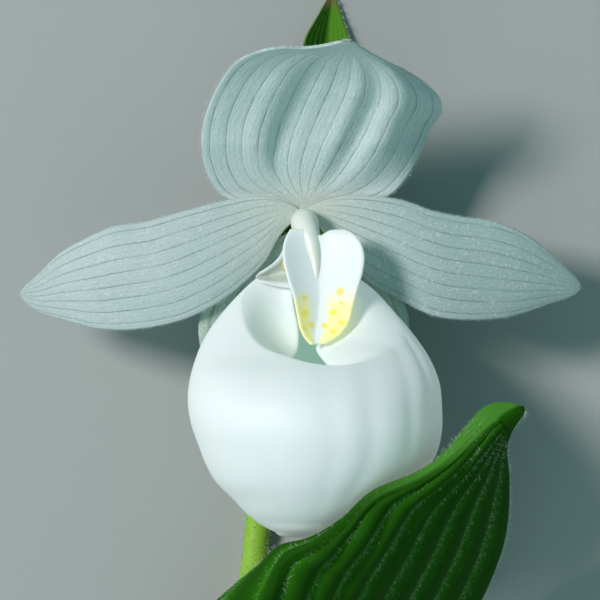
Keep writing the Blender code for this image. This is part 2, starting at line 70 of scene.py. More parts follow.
def curve(points, t, knots=None):
    """Smooth curve through the points, read at t from 0 at the first to 1 at the last.

    Each stretch is a cubic whose end slopes follow the neighbouring points. The knots say
    where on t each point lies; without them they follow the distance between the points.
    """
    points = np.asarray(points, float)
    if points.ndim == 1:
        points = points[:, None]
    if knots is None:
        steps = np.linalg.norm(np.diff(points, axis=0), axis=1)
        knots = np.concatenate(([0.0], np.cumsum(steps))) / steps.sum()
    knots = np.asarray(knots, float)
    t = np.clip(np.asarray(t, float), knots[0], knots[-1])
    slopes = np.gradient(points, knots, axis=0)
    i = np.clip(np.searchsorted(knots, t, side="right") - 1, 0, len(knots) - 2)
    span = (knots[i + 1] - knots[i])[..., None]
    w = (t - knots[i])[..., None] / span
    start = (1 + 2 * w) * (1 - w) ** 2 * points[i] + w * (1 - w) ** 2 * span * slopes[i]
    end = w ** 2 * (3 - 2 * w) * points[i + 1] + w ** 2 * (w - 1) * span * slopes[i + 1]
    return start + end


def along(pairs, t):
    """One number that varies with t, smooth through (t, value) pairs."""
    pairs = np.asarray(pairs, float)
    return curve(pairs[:, 1], t, pairs[:, 0])[..., 0]


def unit(vectors):
    """The same ways, each at length 1."""
    return vectors / np.linalg.norm(vectors, axis=-1, keepdims=True)


def normals_of(grid, ring=False):
    """Normals of a grid of points: the step across it times the step along it."""
    if ring:
        across = np.roll(grid, -1, axis=1) - np.roll(grid, 1, axis=1)
    else:
        across = np.gradient(grid, axis=1)
    return unit(np.cross(across, np.gradient(grid, axis=0)) + 1e-12)


def cells(rows, columns, ring=False):
    """Four-cornered faces between a grid's points, and each corner's place from 0 to 1."""
    reach = columns if ring else columns - 1
    i, j = np.meshgrid(np.arange(rows - 1), np.arange(reach), indexing="ij")
    down = np.stack((i, i, i + 1, i + 1), -1).reshape(-1, 4)
    over = np.stack((j, j + 1, j + 1, j), -1).reshape(-1, 4)
    return down * columns + over % columns, np.stack((over / reach, down / (rows - 1)), -1)


def add_piece(name, points, groups, paint, node=None, traits=None):
    """A piece from its points and its groups of faces, each with its corners' places.

    The traits are numbers on the points that its paint reads by name.
    """
    mesh = bpy.data.meshes.new(name)
    placed = (np.asarray(points).reshape(-1, 3) + (0.0, FLOWER_Y, 0.0)) * MM
    mesh.from_pydata(placed.tolist(), [], [face for faces, _ in groups for face in faces.tolist()])
    places = np.concatenate([corners.reshape(-1, 2) for _, corners in groups])
    layer = mesh.uv_layers.new(name="place")
    layer.data.foreach_set("uv", places.astype(np.float32).ravel())
    for trait, values in (traits or {}).items():
        kept = mesh.attributes.new(trait, "FLOAT", "POINT")
        kept.data.foreach_set("value", np.asarray(values, np.float32).ravel())
    mesh.materials.append(paint)
    mesh.shade_smooth()
    piece = bpy.data.objects.new(name, mesh)
    bpy.context.scene.collection.objects.link(piece)
    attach(piece, "root")
    if node:
        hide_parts(node)


def add_rod(name, rings, paint, node):
    """A closed rod: rings of points joined side to side, and a fan over each end."""
    rows, columns = rings.shape[:2]
    points = np.concatenate((rings.reshape(-1, 3), [rings[0].mean(axis=0)],
                             [rings[-1].mean(axis=0)]))
    j = np.arange(columns)
    k = (j + 1) % columns
    last = (rows - 1) * columns
    foot = np.stack((np.full(columns, rows * columns), k, j), 1)
    head = np.stack((np.full(columns, rows * columns + 1), last + j, last + k), 1)
    turn = np.stack((j, j, j + 1), 1) / columns
    groups = [cells(rows, columns, ring=True),
              (foot, np.stack((turn, np.zeros_like(turn)), -1)),
              (head, np.stack((turn, np.ones_like(turn)), -1))]
    add_piece(name, points, groups, paint, node)


def rings_along(path, radii, sides):
    """Rings square to a path: path + radius * (right * cos(angle) + up * sin(angle)).

    The radii are one for each ring, or one for each of its points.
    """
    forward = unit(np.gradient(path, axis=0))
    up = unit(np.cross(forward, (1.0, 0.0, 0.0)))
    right = np.cross(up, forward)
    angle = np.arange(sides) * 2 * np.pi / sides
    radii = np.broadcast_to(radii.reshape(len(path), -1), (len(path), sides))[..., None]
    return path[:, None] + radii * (np.cos(angle)[None, :, None] * right[:, None]
                                    + np.sin(angle)[None, :, None] * up[:, None])


class Wire:
    """The output of a node in a paint. Sums and products of wires add their Math nodes."""

    def __init__(self, tree, socket=None):
        self.tree = tree
        self.socket = socket

    def node(self, kind, settings=None, inputs=None, output=0):
        """Adds a node, sets it up, then fills its sockets with values or wires."""
        made = self.tree.nodes.new("ShaderNode" + kind)
        for key, value in (settings or {}).items():
            setattr(made, key, value)
        for key, value in (inputs or {}).items():
            if isinstance(value, Wire):
                self.tree.links.new(value.socket, made.inputs[key])
            else:
                made.inputs[key].default_value = value
        return Wire(self.tree, made.outputs[output])

    def math(self, operation, *others):
        """A Math node on this wire and the others, in that order."""
        return self.node("Math", {"operation": operation}, dict(enumerate((self, *others))))

    def __add__(self, other):
        return self.math("ADD", other)

    def __sub__(self, other):
        return self.math("SUBTRACT", other)

    def __rsub__(self, other):
        return self.math("MULTIPLY_ADD", -1.0, other)

    def __mul__(self, other):
        return self.math("MULTIPLY", other)

    def __truediv__(self, other):
        return self.math("DIVIDE", other)

    def __pow__(self, other):
        return self.math("POWER", other)

    __radd__ = __add__
    __rmul__ = __mul__

    def step(self, start, end):
        """0 up to start and 1 from end, smooth between them."""
        return self.node("MapRange", {"interpolation_type": "SMOOTHSTEP"},
                         {"Value": self, "From Min": start, "From Max": end})

    def blend(self, first, second):
        """The first colour where this wire is 0 and the second where it is 1."""
        return self.node("Mix", {"data_type": "RGBA"}, {0: self, 6: first, 7: second}, 2)


def start_paint(name, roughness, subsurface=0.0, gloss=0.5):
    """A new paint with its even values: the wire to build on, and the shader to end in."""
    paint = bpy.data.materials.new(name)
    paint.use_nodes = True
    shader = paint.node_tree.nodes["Principled BSDF"]
    shader.inputs["Roughness"].default_value = roughness
    shader.inputs["Subsurface Weight"].default_value = subsurface
    shader.inputs["Subsurface Radius"].default_value = (1.0, 0.9, 0.8)
    shader.inputs["Subsurface Scale"].default_value = 1.2 * MM
    shader.inputs["Specular IOR Level"].default_value = gloss
    return paint, Wire(paint.node_tree), shader


def feed(shader, socket, wire):
    """Joins a wire to one of the shader's sockets."""
    wire.tree.links.new(wire.socket, shader.inputs[socket])


def split(wire, place):
    """The x and the y of a place."""
    return [wire.node("SeparateXYZ", None, {0: place}, axis) for axis in "XY"]


def read_places(wire):
    """A point's place in space, and its shares across and along the piece's own grid."""
    own = wire.node("UVMap", {"uv_map": "place"})
    return wire.node("TexCoord", output="Object"), *split(wire, own)


def bumps(wire, height, depth, strength):
    """A normal for relief too fine for the mesh, its depth in millimetres."""
    return wire.node("Bump", None, {"Strength": strength, "Distance": depth * MM,
                                    "Height": height})


def speckle(wire, where, scale, detail=2.0):
    """Soft cloudy noise from 0 to 1 at a place, finer as the scale grows."""
    return wire.node("TexNoise", None, {"Vector": where, "Scale": scale, "Detail": detail})


def stalk_paint(name, green, shade):
    """Sappy green with faint lines along it, a little darker in blotches."""
    paint, wire, shader = start_paint(name, 0.5, subsurface=0.15, gloss=0.3)
    where, across, _ = read_places(wire)
    lines = (across * 140.0).math("SINE") * 0.5 + 0.5
    blotch = speckle(wire, where, 450.0).step(0.35, 0.7)
    feed(shader, "Base Color", (blotch * 0.5 + lines * 0.25).blend(green, shade))
    feed(shader, "Normal", bumps(wire, speckle(wire, where, 1800.0), 0.05, 0.4))
    return paint


def hair_paint(name, color):
    """Clear hair that takes the light: pale, a little see-through."""
    paint, _, shader = start_paint(name, 0.35, subsurface=0.3)
    shader.inputs["Base Color"].default_value = color
    return paint


def spots_on(grid, rows, columns, ring=False):
    """Points between a grid's own points, from their four neighbours by share."""
    i = np.clip(np.floor(rows).astype(int), 0, grid.shape[0] - 2)
    j = np.floor(columns).astype(int)
    j = j % grid.shape[1] if ring else np.clip(j, 0, grid.shape[1] - 2)
    k = (j + 1) % grid.shape[1]
    a = (rows - i)[:, None]
    b = (columns - np.floor(columns) if ring else columns - j)[:, None]
    return ((1 - a) * ((1 - b) * grid[i, j] + b * grid[i, k])
            + a * ((1 - b) * grid[i + 1, j] + b * grid[i + 1, k]))


def add_hairs(name, roots, ways, lengths, width, paint):
    """Hairs as slim three-sided cones with a closed foot, each bent over on its way up.

    The middle line is root + way * length * t + bend * HAIR_DROOP * length * t squared.
    """
    count = len(roots)
    ways = unit(ways)
    chance = np.random.default_rng(count)
    bend = unit(np.cross(ways, chance.normal(size=(count, 3))))
    side = unit(np.cross(ways, bend))
    other = np.cross(ways, side)
    t = np.array([0.0, 0.5, 1.0])[None, :, None]
    middle = (roots[:, None] + ways[:, None] * lengths[:, None, None] * t
              + bend[:, None] * HAIR_DROOP * lengths[:, None, None] * t ** 2)
    angle = np.arange(3) * 2 * np.pi / 3
    round_way = (np.cos(angle)[None, :, None] * side[:, None]
                 + np.sin(angle)[None, :, None] * other[:, None])
    points = np.concatenate((middle[:, 0, None] + round_way * width,
                             middle[:, 1, None] + round_way * width * 0.6,
                             middle[:, 2, None]), axis=1)
    k = np.arange(3)
    n = (k + 1) % 3
    walls = np.stack((k, n, n + 3, k + 3), 1)
    caps = np.concatenate((np.stack((k + 3, n + 3, np.full(3, 6)), 1), [[0, 2, 1]]))
    first = 7 * np.arange(count)[:, None, None]
    walls = (walls[None] + first).reshape(-1, 4)
    caps = (caps[None] + first).reshape(-1, 3)
    groups = [(faces, np.zeros((*faces.shape, 2))) for faces in (walls, caps)]
    add_piece(name, points, groups, paint)


def bump(x, middle, width):
    """A smooth hump of height 1 at the middle, fading over the width."""
    return np.exp(-((x - middle) / width) ** 2)


def stem_x(y):
    """The stem leans evenly, but for a short upright stretch under the pouch's toe."""
    lean = STEM_LEAN - STEM_BEND * bump(y, STEM_Y_UNDER_POUCH, 10.0)
    return STEM_X_UNDER_POUCH + lean * (y - STEM_Y_UNDER_POUCH)


y = np.linspace(STEM_CUT_Y, STEM_TOP_Y, STEM_ROWS)
rise = along([(STEM_CUT_Y, 0.0), (-40.0, 0.0), (-28.0, 0.5), (STEM_TOP_Y, 1.9)], y)
path = np.stack((stem_x(y), y, STEM_RADIUS - STEM_SINK + rise), 1)
radius = along([(STEM_CUT_Y, STEM_RADIUS), (-45.0, STEM_RADIUS),
                (STEM_TOP_Y, STEM_NECK_RADIUS)], y)
stem_rings = rings_along(path, radius, STEM_SIDES)
stem_rings[..., 2] = np.maximum(stem_rings[..., 2], 0.0)
add_rod("stem_finished", stem_rings, stalk_paint("stem green", STEM_GREEN, STEM_SHADE),
        "stem")

chance = np.random.default_rng(3)
rows = chance.uniform(1.0, STEM_ROWS - 2.0, STEM_HAIRS)
columns = chance.uniform(0.0, STEM_SIDES, STEM_HAIRS)
roots = spots_on(stem_rings, rows, columns, ring=True)
ways = spots_on(normals_of(stem_rings, ring=True), rows, columns, ring=True)
above = roots[:, 2] > 0.8
ways = ways + chance.normal(size=ways.shape) * 0.35
clear_hair = hair_paint("clear hair", HAIR_CLEAR)
add_hairs("stem_hairs", roots[above] - ways[above] * HAIR_ROOT, ways[above],
          chance.uniform(0.4, 1.1, above.sum()), 0.032, clear_hair)


# The ovary: the swollen top of the stem, with six ribs, which turns up into the flower's
# base. It is the same green flesh as the stem and has the same hairs, set closer.
OVARY_BEND_RADIUS = 10.8
OVARY_TOP_Z = 14.2
OVARY_RIBS = 6
OVARY_ROWS = 60
OVARY_SIDES = 10 * OVARY_RIBS
OVARY_HAIRS = 900

turn = np.linspace(0.0, np.pi / 2, 44)
drift = along([(0.0, 2.4), (np.pi / 4, 1.4), (np.pi / 2, 0.4)], turn)
arc = np.stack((drift, -OVARY_BEND_RADIUS * (1 - np.sin(turn)),
                OVARY_TOP_Z - OVARY_BEND_RADIUS * np.cos(turn)), 1)
neck_y = STEM_TOP_Y + np.array([0.4, 1.6])
neck = np.stack((stem_x(neck_y), neck_y, np.full(2, OVARY_TOP_Z - OVARY_BEND_RADIUS)), 1)
place = np.linspace(0.0, 1.0, OVARY_ROWS)
path = curve(np.concatenate((neck, arc)), place)
radius = along([(0.0, STEM_NECK_RADIUS), (0.25, 1.8), (0.6, 2.3), (0.9, 2.1), (1.0, 1.7)],
               place)
around = np.arange(OVARY_SIDES) * 2 * np.pi / OVARY_SIDES
ribs = 1 + 0.07 * np.cos(OVARY_RIBS * around)[None] * np.sin(np.pi * place)[:, None]
ovary_rings = rings_along(path, radius[:, None] * ribs, OVARY_SIDES)
add_rod("ovary_finished", ovary_rings, stalk_paint("ovary green", STEM_GREEN, STEM_SHADE),
        "ovary")

rows = chance.uniform(1.0, OVARY_ROWS - 4.0, OVARY_HAIRS)
columns = chance.uniform(0.0, OVARY_SIDES, OVARY_HAIRS)
roots = spots_on(ovary_rings, rows, columns, ring=True)
ways = spots_on(normals_of(ovary_rings, ring=True), rows, columns, ring=True)
above = roots[:, 2] > 0.9
add_hairs("ovary_hairs", roots[above] - ways[above] * HAIR_ROOT,
          ways[above] + chance.normal(size=(above.sum(), 3)) * 0.3,
          chance.uniform(0.3, 0.7, above.sum()), 0.03, clear_hair)


# The bract: a narrow leaf that clasps the stem's neck and runs up behind the flower to a
# point. It is folded along its middle, one side painted dark as painted shade and the other
# painted light as painted light.
BRACT_PAINTED_SHADE = (0.010, 0.062, 0.001, 1.0)
BRACT_PAINTED_LIGHT = (0.080, 0.27, 0.006, 1.0)
BRACT_VEIN = (0.05, 0.16, 0.014, 1.0)
BRACT_MARGIN = (0.24, 0.40, 0.10, 1.0)
BRACT_TIP = (0.16, 0.13, 0.05, 1.0)
BRACT_VEINS = 9
BRACT_BLADE = 0.5
BRACT_HAIRS = 420
THIN_EDGE = 0.35
RIM_HAIR_LIFT = 0.3


def between(left, right, u, v):
    """Flat sheet between two edges, read at u along and v across, both from 0 to 1."""
    one = curve(left, u)[:, None]
    other = curve(right, u)[:, None]
    return one + (other - one) * v[None, :, None]


def with_height(flat, height):
    """The flat points with the height as their z."""
    return np.concatenate((flat, height[..., None]), axis=-1)


def half_blade(thickness, way_in):
    """Half a thickness, rounded off at a free edge: its way in, w, gives the root of w(2 - w)."""
    return thickness / 2 * (THIN_EDGE + (1 - THIN_EDGE) * np.sqrt(way_in * (2 - way_in)))


def add_sheet(name, grid, thickness, paint, node=None, traits=None):
    """A closed sheet: the grid moved half the thickness to each side, with a wall round it.

    The sheet thins within four cells of its margin.
    """
    rows, columns = grid.shape[:2]
    i = np.minimum(np.arange(rows), np.arange(rows)[::-1])[:, None]
    j = np.minimum(np.arange(columns), np.arange(columns)[::-1])[None]
    way_in = np.clip(np.minimum(i, j) / 4.0, 0.0, 1.0)
    offset = normals_of(grid) * half_blade(thickness, way_in)[..., None]
    points = np.concatenate(((grid + offset).reshape(-1, 3), (grid - offset).reshape(-1, 3)))
    faces, places = cells(rows, columns)
    size = rows * columns
    numbers = np.arange(size).reshape(rows, columns)
    rim = np.concatenate((numbers[0, :-1], numbers[:-1, -1], numbers[-1, :0:-1],
                          numbers[:0:-1, 0]))
    ahead = np.roll(rim, -1)
    wall = np.stack((rim, rim + size, ahead + size, ahead), 1)
    spots = np.stack((numbers % columns / (columns - 1), numbers // columns / (rows - 1)), -1)
    spots = np.tile(spots.reshape(-1, 2), (2, 1))
    groups = [(faces, places), (faces[:, ::-1] + size, places[:, ::-1]), (wall, spots[wall])]
    traits = {key: np.tile(value.ravel(), 2) for key, value in (traits or {}).items()}
    add_piece(name, points, groups, paint, node, traits)


def rim_hairs(name, grid, edges, count, lengths, width, paint, seed):
    """Hairs along a sheet's margins, pointing away from it.

    The edges are "left" (the first column), "right" (the last) and "tip" (the last row).
    """
    chance = np.random.default_rng(seed)
    sides = {"left": (grid[:, 0], grid[:, 1]), "right": (grid[:, -1], grid[:, -2]),
             "tip": (grid[-1], grid[-2])}
    roots, ways = [], []
    for edge in edges:
        line, inner = sides[edge]
        steps = np.linalg.norm(np.diff(line, axis=0), axis=1)
        reach = np.concatenate(([0.0], np.cumsum(steps))) / steps.sum()
        spots = chance.uniform(0.02, 1.0, count)
        outward = unit(line - inner)
        roots.append(np.stack([np.interp(spots, reach, line[:, k]) for k in range(3)], 1))
        ways.append(np.stack([np.interp(spots, reach, outward[:, k]) for k in range(3)], 1))
    roots, ways = np.concatenate(roots), np.concatenate(ways)
    ways = ways + chance.normal(size=ways.shape) * 0.35 + (0.0, 0.0, RIM_HAIR_LIFT)
    add_hairs(name, roots - unit(ways) * HAIR_ROOT, ways,
              chance.uniform(*lengths, len(roots)), width, paint)


left = [(-1.2, -17.8), (-2.8, -10.0), (-4.0, 0.0), (-3.3, 11.0), (0.0, 20.5), (0.7, 25.1),
        (2.4, 28.2), (4.0, 31.0)]
right = [(4.6, -17.8), (7.2, -10.0), (9.2, 0.0), (9.6, 11.0), (8.1, 20.5), (6.9, 25.7),
         (6.1, 28.2), (5.2, 31.1)]
u = np.linspace(0.0, 1.0, 130)
v = np.linspace(0.0, 1.0, 61)
flat = between(left, right, u, v)
across = np.abs(2 * v - 1)[None]
u = u[:, None]
rise = along([(0.0, 3.6), (0.15, 3.0), (0.5, 2.6), (0.8, 1.5), (0.95, 0.4), (1.0, 0.1)], u)
keel = along([(0.0, 0.42), (0.4, 0.5), (0.9, 0.4), (1.0, 0.36)], u)
round_base = np.clip(1 - 4 * u, 0.0, 1.0)
ridges = 0.06 * np.sin(np.pi * BRACT_VEINS * v)[None] ** 2 * np.sin(np.pi * u)
bract = with_height(flat, keel + rise * across ** (1.25 + 1.4 * round_base) + ridges)

bract_paint, wire, shader = start_paint("bract green", 0.6, subsurface=0.1, gloss=0.1)
where, across, onward = read_places(wire)
# Painted light and shade: one half of the fold is painted light, the other dark.
lit = (across + speckle(wire, where, 260.0) * 0.1).step(0.44, 0.66)
veins = (across * (BRACT_VEINS * 2 * np.pi)).math("COSINE") * 0.16
veins = (veins + speckle(wire, where, 900.0) * 0.3).step(0.0, 0.6)
green = veins.blend(lit.blend(BRACT_PAINTED_SHADE, BRACT_PAINTED_LIGHT), BRACT_VEIN)
at_margin = (across - 0.5).math("ABSOLUTE").step(0.47, 0.5)
green = (at_margin * 0.6).blend(green, BRACT_MARGIN)
green = (onward.step(0.95, 1.0) * 0.8).blend(green, BRACT_TIP)
feed(shader, "Base Color", green)
feed(shader, "Normal", bumps(wire, speckle(wire, where, 2200.0), 0.06, 0.5))
add_sheet("bract_finished", bract, BRACT_BLADE, bract_paint, "bract")
rim_hairs("bract_hairs", bract, ("left", "right"), BRACT_HAIRS, (0.35, 0.9), 0.028,
          clear_hair, 11)


# The leaf: one broad blade that clasps the stem and rises past the flower. It is pleated along
# its veins, dark above and paler below, where it rolls over at its crest, and hairy on each rib.
# Its ridges are lightened with painted light, and so is that paler strip near its tip.
LEAF_RIBS = 11
LEAF_RIB_DEPTH = 0.34
LEAF_RIB_CELLS = 12
LEAF_ROWS = 190
LEAF_LOWEST = 0.3
LEAF_BLADE = 0.5
LEAF_HAIRS = 4200
LEAF_MARGIN_HAIRS = 1300
LEAF_DARK = (0.010, 0.072, 0.001, 1.0)
LEAF_GREEN = (0.022, 0.140, 0.003, 1.0)
LEAF_RIDGE = (0.045, 0.210, 0.010, 1.0)
LEAF_UNDERSIDE_PAINTED_LIT = (0.075, 0.270, 0.030, 1.0)

# From margin to crest the face is straight in plan, and its height falls from the crest's as
# the way back to the power of the swell. Past the crest it rolls over on a radius, as far as
# its most turn, and then runs straight. The pleats are a cosine along the normals.
stations = [0.0, 0.1, 0.2, 0.3, 0.42, 0.54, 0.66, 0.77, 0.85, 0.91, 0.96, 1.0]
crest = [(-23.8, -103.6, 4.7), (-23.2, -95.0, 7.0), (-22.8, -85.0, 12.0), (-21.4, -73.5, 18.5),
         (-14.6, -58.3, 27.5), (-8.6, -52.7, 34.5), (1.4, -46.7, 41.4), (10.4, -40.6, 44.8),
         (19.0, -35.9, 45.8), (23.7, -31.4, 45.9), (26.8, -27.5, 45.7), (31.2, -27.6, 45.3)]
margin = [(-17.8, -104.4, 1.0), (-13.8, -98.0, 0.9), (-4.5, -90.5, 0.8), (6.5, -81.5, 0.6),
          (17.2, -71.0, 0.45), (25.0, -59.5, 5.5), (28.9, -50.5, 13.5), (30.0, -43.8, 22.0),
          (29.7, -37.8, 31.0), (28.9, -33.7, 38.5), (29.4, -31.2, 43.2), (31.3, -28.2, 45.3)]
roll = [2.9, 4.2, 6.0, 7.0, 6.5, 4.5, 2.4, 1.9, 2.0, 2.9, 3.3, 0.4]
most_turn = [1.75, 1.8, 1.9, 2.0, 2.0, 2.1, 2.6, 2.7, 2.3, 1.5, 1.0, 0.15]
tail = [5.1, 7.6, 11.5, 14.0, 14.5, 11.0, 6.5, 5.0, 4.6, 4.4, 4.0, 0.3]
swell = [2.6, 2.4, 2.2, 2.1, 2.0, 1.9, 1.8, 1.6, 1.4, 1.3, 1.2, 1.2]
face_share = [0.72, 0.76, 0.80, 0.84, 0.86, 0.80, 0.70, 0.60, 0.52, 0.46, 0.42, 0.40]

s = np.linspace(0.0, 1.0, LEAF_ROWS)
top = curve(crest, s, stations)
edge = curve(margin, s, stations)
numbers = curve(np.stack((roll, most_turn, tail, swell, face_share), 1), s, stations)
radius, most, under, power, held = numbers.T[..., None]
onward = unit(np.gradient(top[:, :2], axis=0))
outward = np.stack((-onward[:, 1], onward[:, 0]), 1)
wave = along([(0.0, 0.0), (0.54, 0.0), (0.58, 0.5), (0.62, 1.5), (0.66, 0.4), (0.72, 0.0),
              (0.775, 0.9), (0.82, 0.5), (0.86, 0.5), (0.92, 0.9), (0.96, 0.3), (1.0, 0.0)], s)
top[:, :2] -= outward * radius
share = np.linspace(0.0, 1.0, LEAF_RIB_CELLS * LEAF_RIBS + 1)[None]
on_face = np.clip(share / held, 0.0, 1.0)
past = np.clip((share - held) / (1 - held), 0.0, None) * under
turned = np.minimum(past / radius, most)
straight = past - turned * radius
out = radius * np.sin(turned) + straight * np.cos(turned)
down = radius * (1 - np.cos(turned)) + straight * np.sin(turned)
flat = edge[:, None, :2] + (top - edge)[:, None, :2] * on_face[..., None]
flat = flat + outward[:, None] * (out + wave[:, None] * on_face ** 5)[..., None]
drop = (top - edge)[:, 2:] * (1 - on_face) ** power
leaf = with_height(flat, top[:, 2:] - drop - down)
pleat = np.cos(2 * np.pi * LEAF_RIBS * share) * np.clip(1.3 - past / 3.0, 0.0, 1.0)
depth = LEAF_RIB_DEPTH * along([(0.0, 0.2), (0.12, 0.4), (0.3, 1.0), (0.85, 1.0), (0.95, 0.1),
                                (1.0, 0.0)], s)[:, None]
leaf = leaf + normals_of(leaf) * (depth * pleat)[..., None]
leaf[..., 2] = np.maximum(leaf[..., 2], LEAF_LOWEST)

leaf_paint, wire, shader = start_paint("leaf green", 0.6, subsurface=0.05, gloss=0.06)
where, across, onward = read_places(wire)
wobble = (speckle(wire, where, 120.0) - 0.5) * 0.01
rib = ((across + wobble) * (LEAF_RIBS * 2 * np.pi)).math("COSINE") * 0.5 + 0.5
fine = ((across + wobble * 0.5) * (LEAF_RIBS * 10 * np.pi)).math("COSINE") * 0.5 + 0.5
# Painted light: lighter on the pleats' ridges, darker between them.
lit = (rib * 0.7 + speckle(wire, where, 700.0) * 0.35).step(0.15, 1.0)
green = (rib ** 12.0 * 0.6).blend(lit.blend(LEAF_DARK, LEAF_GREEN), LEAF_RIDGE)
rolled = wire.node("Attribute", {"attribute_name": "past"}, None, "Fac")
# Near the tip, the rolled-over strip: its paler underside, painted lighter still as painted light.
strip = rolled.step(0.5, 1.3) * onward.step(0.72, 0.86)
green = (strip * (0.75 + speckle(wire, where, 300.0) * 0.3)).blend(green, LEAF_UNDERSIDE_PAINTED_LIT)
feed(shader, "Base Color", green)
relief = fine * 0.5 + speckle(wire, where, 1500.0)
feed(shader, "Normal", bumps(wire, relief, 0.08, 0.5))
add_sheet("leaf_finished", leaf, LEAF_BLADE, leaf_paint, "leaf",
          {"past": np.broadcast_to(past, leaf.shape[:2])})

chance = np.random.default_rng(5)
rib_number = chance.integers(1, LEAF_RIBS, LEAF_HAIRS)
columns = np.clip(rib_number * LEAF_RIB_CELLS + chance.normal(size=LEAF_HAIRS) * 1.1, 0.5,
                  LEAF_RIB_CELLS * LEAF_RIBS - 1.0)
rows = chance.uniform(30.0, LEAF_ROWS - 14.0, LEAF_HAIRS)
roots = spots_on(leaf, rows, columns)
ways = spots_on(-normals_of(leaf), rows, columns) + chance.normal(size=roots.shape) * 0.35
add_hairs("leaf_hairs", roots + unit(ways) * (LEAF_BLADE / 2 - HAIR_ROOT), ways,
          chance.uniform(0.3, 0.9, LEAF_HAIRS), 0.025, clear_hair)
rim_hairs("leaf_margin_hairs", leaf, ("left",), LEAF_MARGIN_HAIRS, (0.5, 1.5), 0.03,
          clear_hair, 13)


# The synsepal: the two side sepals grown into one white cup behind the pouch, of which only
# strips show at the pouch's shoulders. It is thin tissue with fine veins, its white painted
# greyer and greener as painted shade.
SEPAL_BLADE = 0.45
# Painted shade: both tones of the synsepal's white are painted darker and greener.
SYNSEPAL_PALE_PAINTED_SHADE = (0.47, 0.60, 0.52, 1.0)
SYNSEPAL_DEEP_PAINTED_SHADE = (0.22, 0.36, 0.28, 1.0)
SYNSEPAL_VEIN = (0.15, 0.24, 0.18, 1.0)
SYNSEPAL_VEINS = 10
TISSUE_PAINTED_GLINT = (0.90, 0.96, 0.95, 1.0)


def petal_paint(name, pale, shade, vein, vein_count, vein_width, glow, base_color):
    """White petal tissue: sunken grey-green veins along it and fine painted glints on its cells.
    """
    paint, wire, shader = start_paint(name, 0.5, subsurface=glow)
    where, across, onward = read_places(wire)
    drifted = across + (speckle(wire, where, 90.0) - 0.5) * 0.03
    grain_place = wire.node("Mapping", None, {
        0: wire.node("UVMap", {"uv_map": "place"}), "Scale": (150.0, 22.0, 1.0)})
    fibre = speckle(wire, grain_place, 1.0, 3.0)

    def lines(count, width, shift):
        phase = (drifted + (fibre - 0.5) * 0.008) * float(count) + shift
        away = (phase.math("FRACT") - 0.5).math("ABSOLUTE")
        return 1 - away.step(0.0, width)

    strength = speckle(wire, where, 160.0).step(0.3, 0.62) * 0.6 + 0.4
    ends = onward.step(0.0, 0.1) * (1 - onward.step(0.9, 1.0))
    line = lines(vein_count, vein_width, 0.0) * strength * ends
    faint = lines(3 * vein_count, 0.16, 0.31) * 0.35
    cell = speckle(wire, where, 2600.0)
    color = (speckle(wire, where, 75.0).step(0.3, 0.75) * 0.35).blend(pale, shade)
    color = (1 - onward.step(0.0, 0.26)).blend(color, base_color)
    color = (line * 0.8 + faint * 0.45 + fibre.step(0.5, 0.75) * 0.22).blend(color, vein)
    # Painted highlight: tiny bright glints on the cells.
    color = (cell.step(0.56, 0.70) * 0.35).blend(color, TISSUE_PAINTED_GLINT)
    feed(shader, "Base Color", color)
    relief = cell * 0.9 + fibre * 0.8 - line * 0.9 - faint * 0.3
    feed(shader, "Normal", bumps(wire, relief, 0.16, 0.6))
    return paint


left = [(-0.9, -2.6), (-6.0, -6.0), (-11.8, -10.5), (-14.4, -15.5), (-13.6, -22.0),
        (-9.6, -28.0), (-4.5, -31.6), (0.0, -32.8)]
right = [(1.7, -2.6), (7.0, -6.0), (12.8, -10.0), (15.4, -14.6), (14.8, -21.5), (11.4, -28.0),
         (6.6, -31.6), (2.6, -32.8)]
u = 1 - (1 - np.linspace(0.0, 1.0, 90)) ** 1.5
v = np.linspace(0.0, 1.0, 90)
flat = between(left, right, u, v)
u = u[:, None]
across = np.abs(2 * v - 1)[None]
base = along([(0.0, 15.0), (0.3, 14.7), (0.7, 13.6), (1.0, 13.0)], u)
quilt = 0.08 * np.abs(np.sin(np.pi * SYNSEPAL_VEINS * v))[None]
synsepal = with_height(flat, base + (1.6 * across ** 2 + quilt) * np.sin(np.pi * u))
add_sheet("synsepal_finished", synsepal, SEPAL_BLADE,
          petal_paint("synsepal white", SYNSEPAL_PALE_PAINTED_SHADE, SYNSEPAL_DEEP_PAINTED_SHADE, SYNSEPAL_VEIN,
                      SYNSEPAL_VEINS, 0.12, 0.1, SYNSEPAL_PALE_PAINTED_SHADE), "synsepal")


# The petals: one thin white blade on each side, narrow where it grows from the flower's base
# and blunt at its tip, with eight veins along it and short hairs on its margin.
PETAL_BLADE = 0.42
PETAL_VEINS = 8
PETAL_PALE = (0.55, 0.67, 0.66, 1.0)
PETAL_SHADE = (0.42, 0.56, 0.55, 1.0)
PETAL_VEIN = (0.20, 0.31, 0.29, 1.0)
PETAL_BASE = (0.64, 0.72, 0.65, 1.0)
# Painted shade: the right petal's white, painted darker than the left's.
RIGHT_PETAL_PAINTED_SHADE = (0.42, 0.56, 0.55, 1.0)
RIGHT_PETAL_PAINTED_SHADE_DEEP = (0.32, 0.47, 0.46, 1.0)
PETAL_RIM_HAIRS = 420
WHITE_HAIR = (0.80, 0.86, 0.84, 1.0)


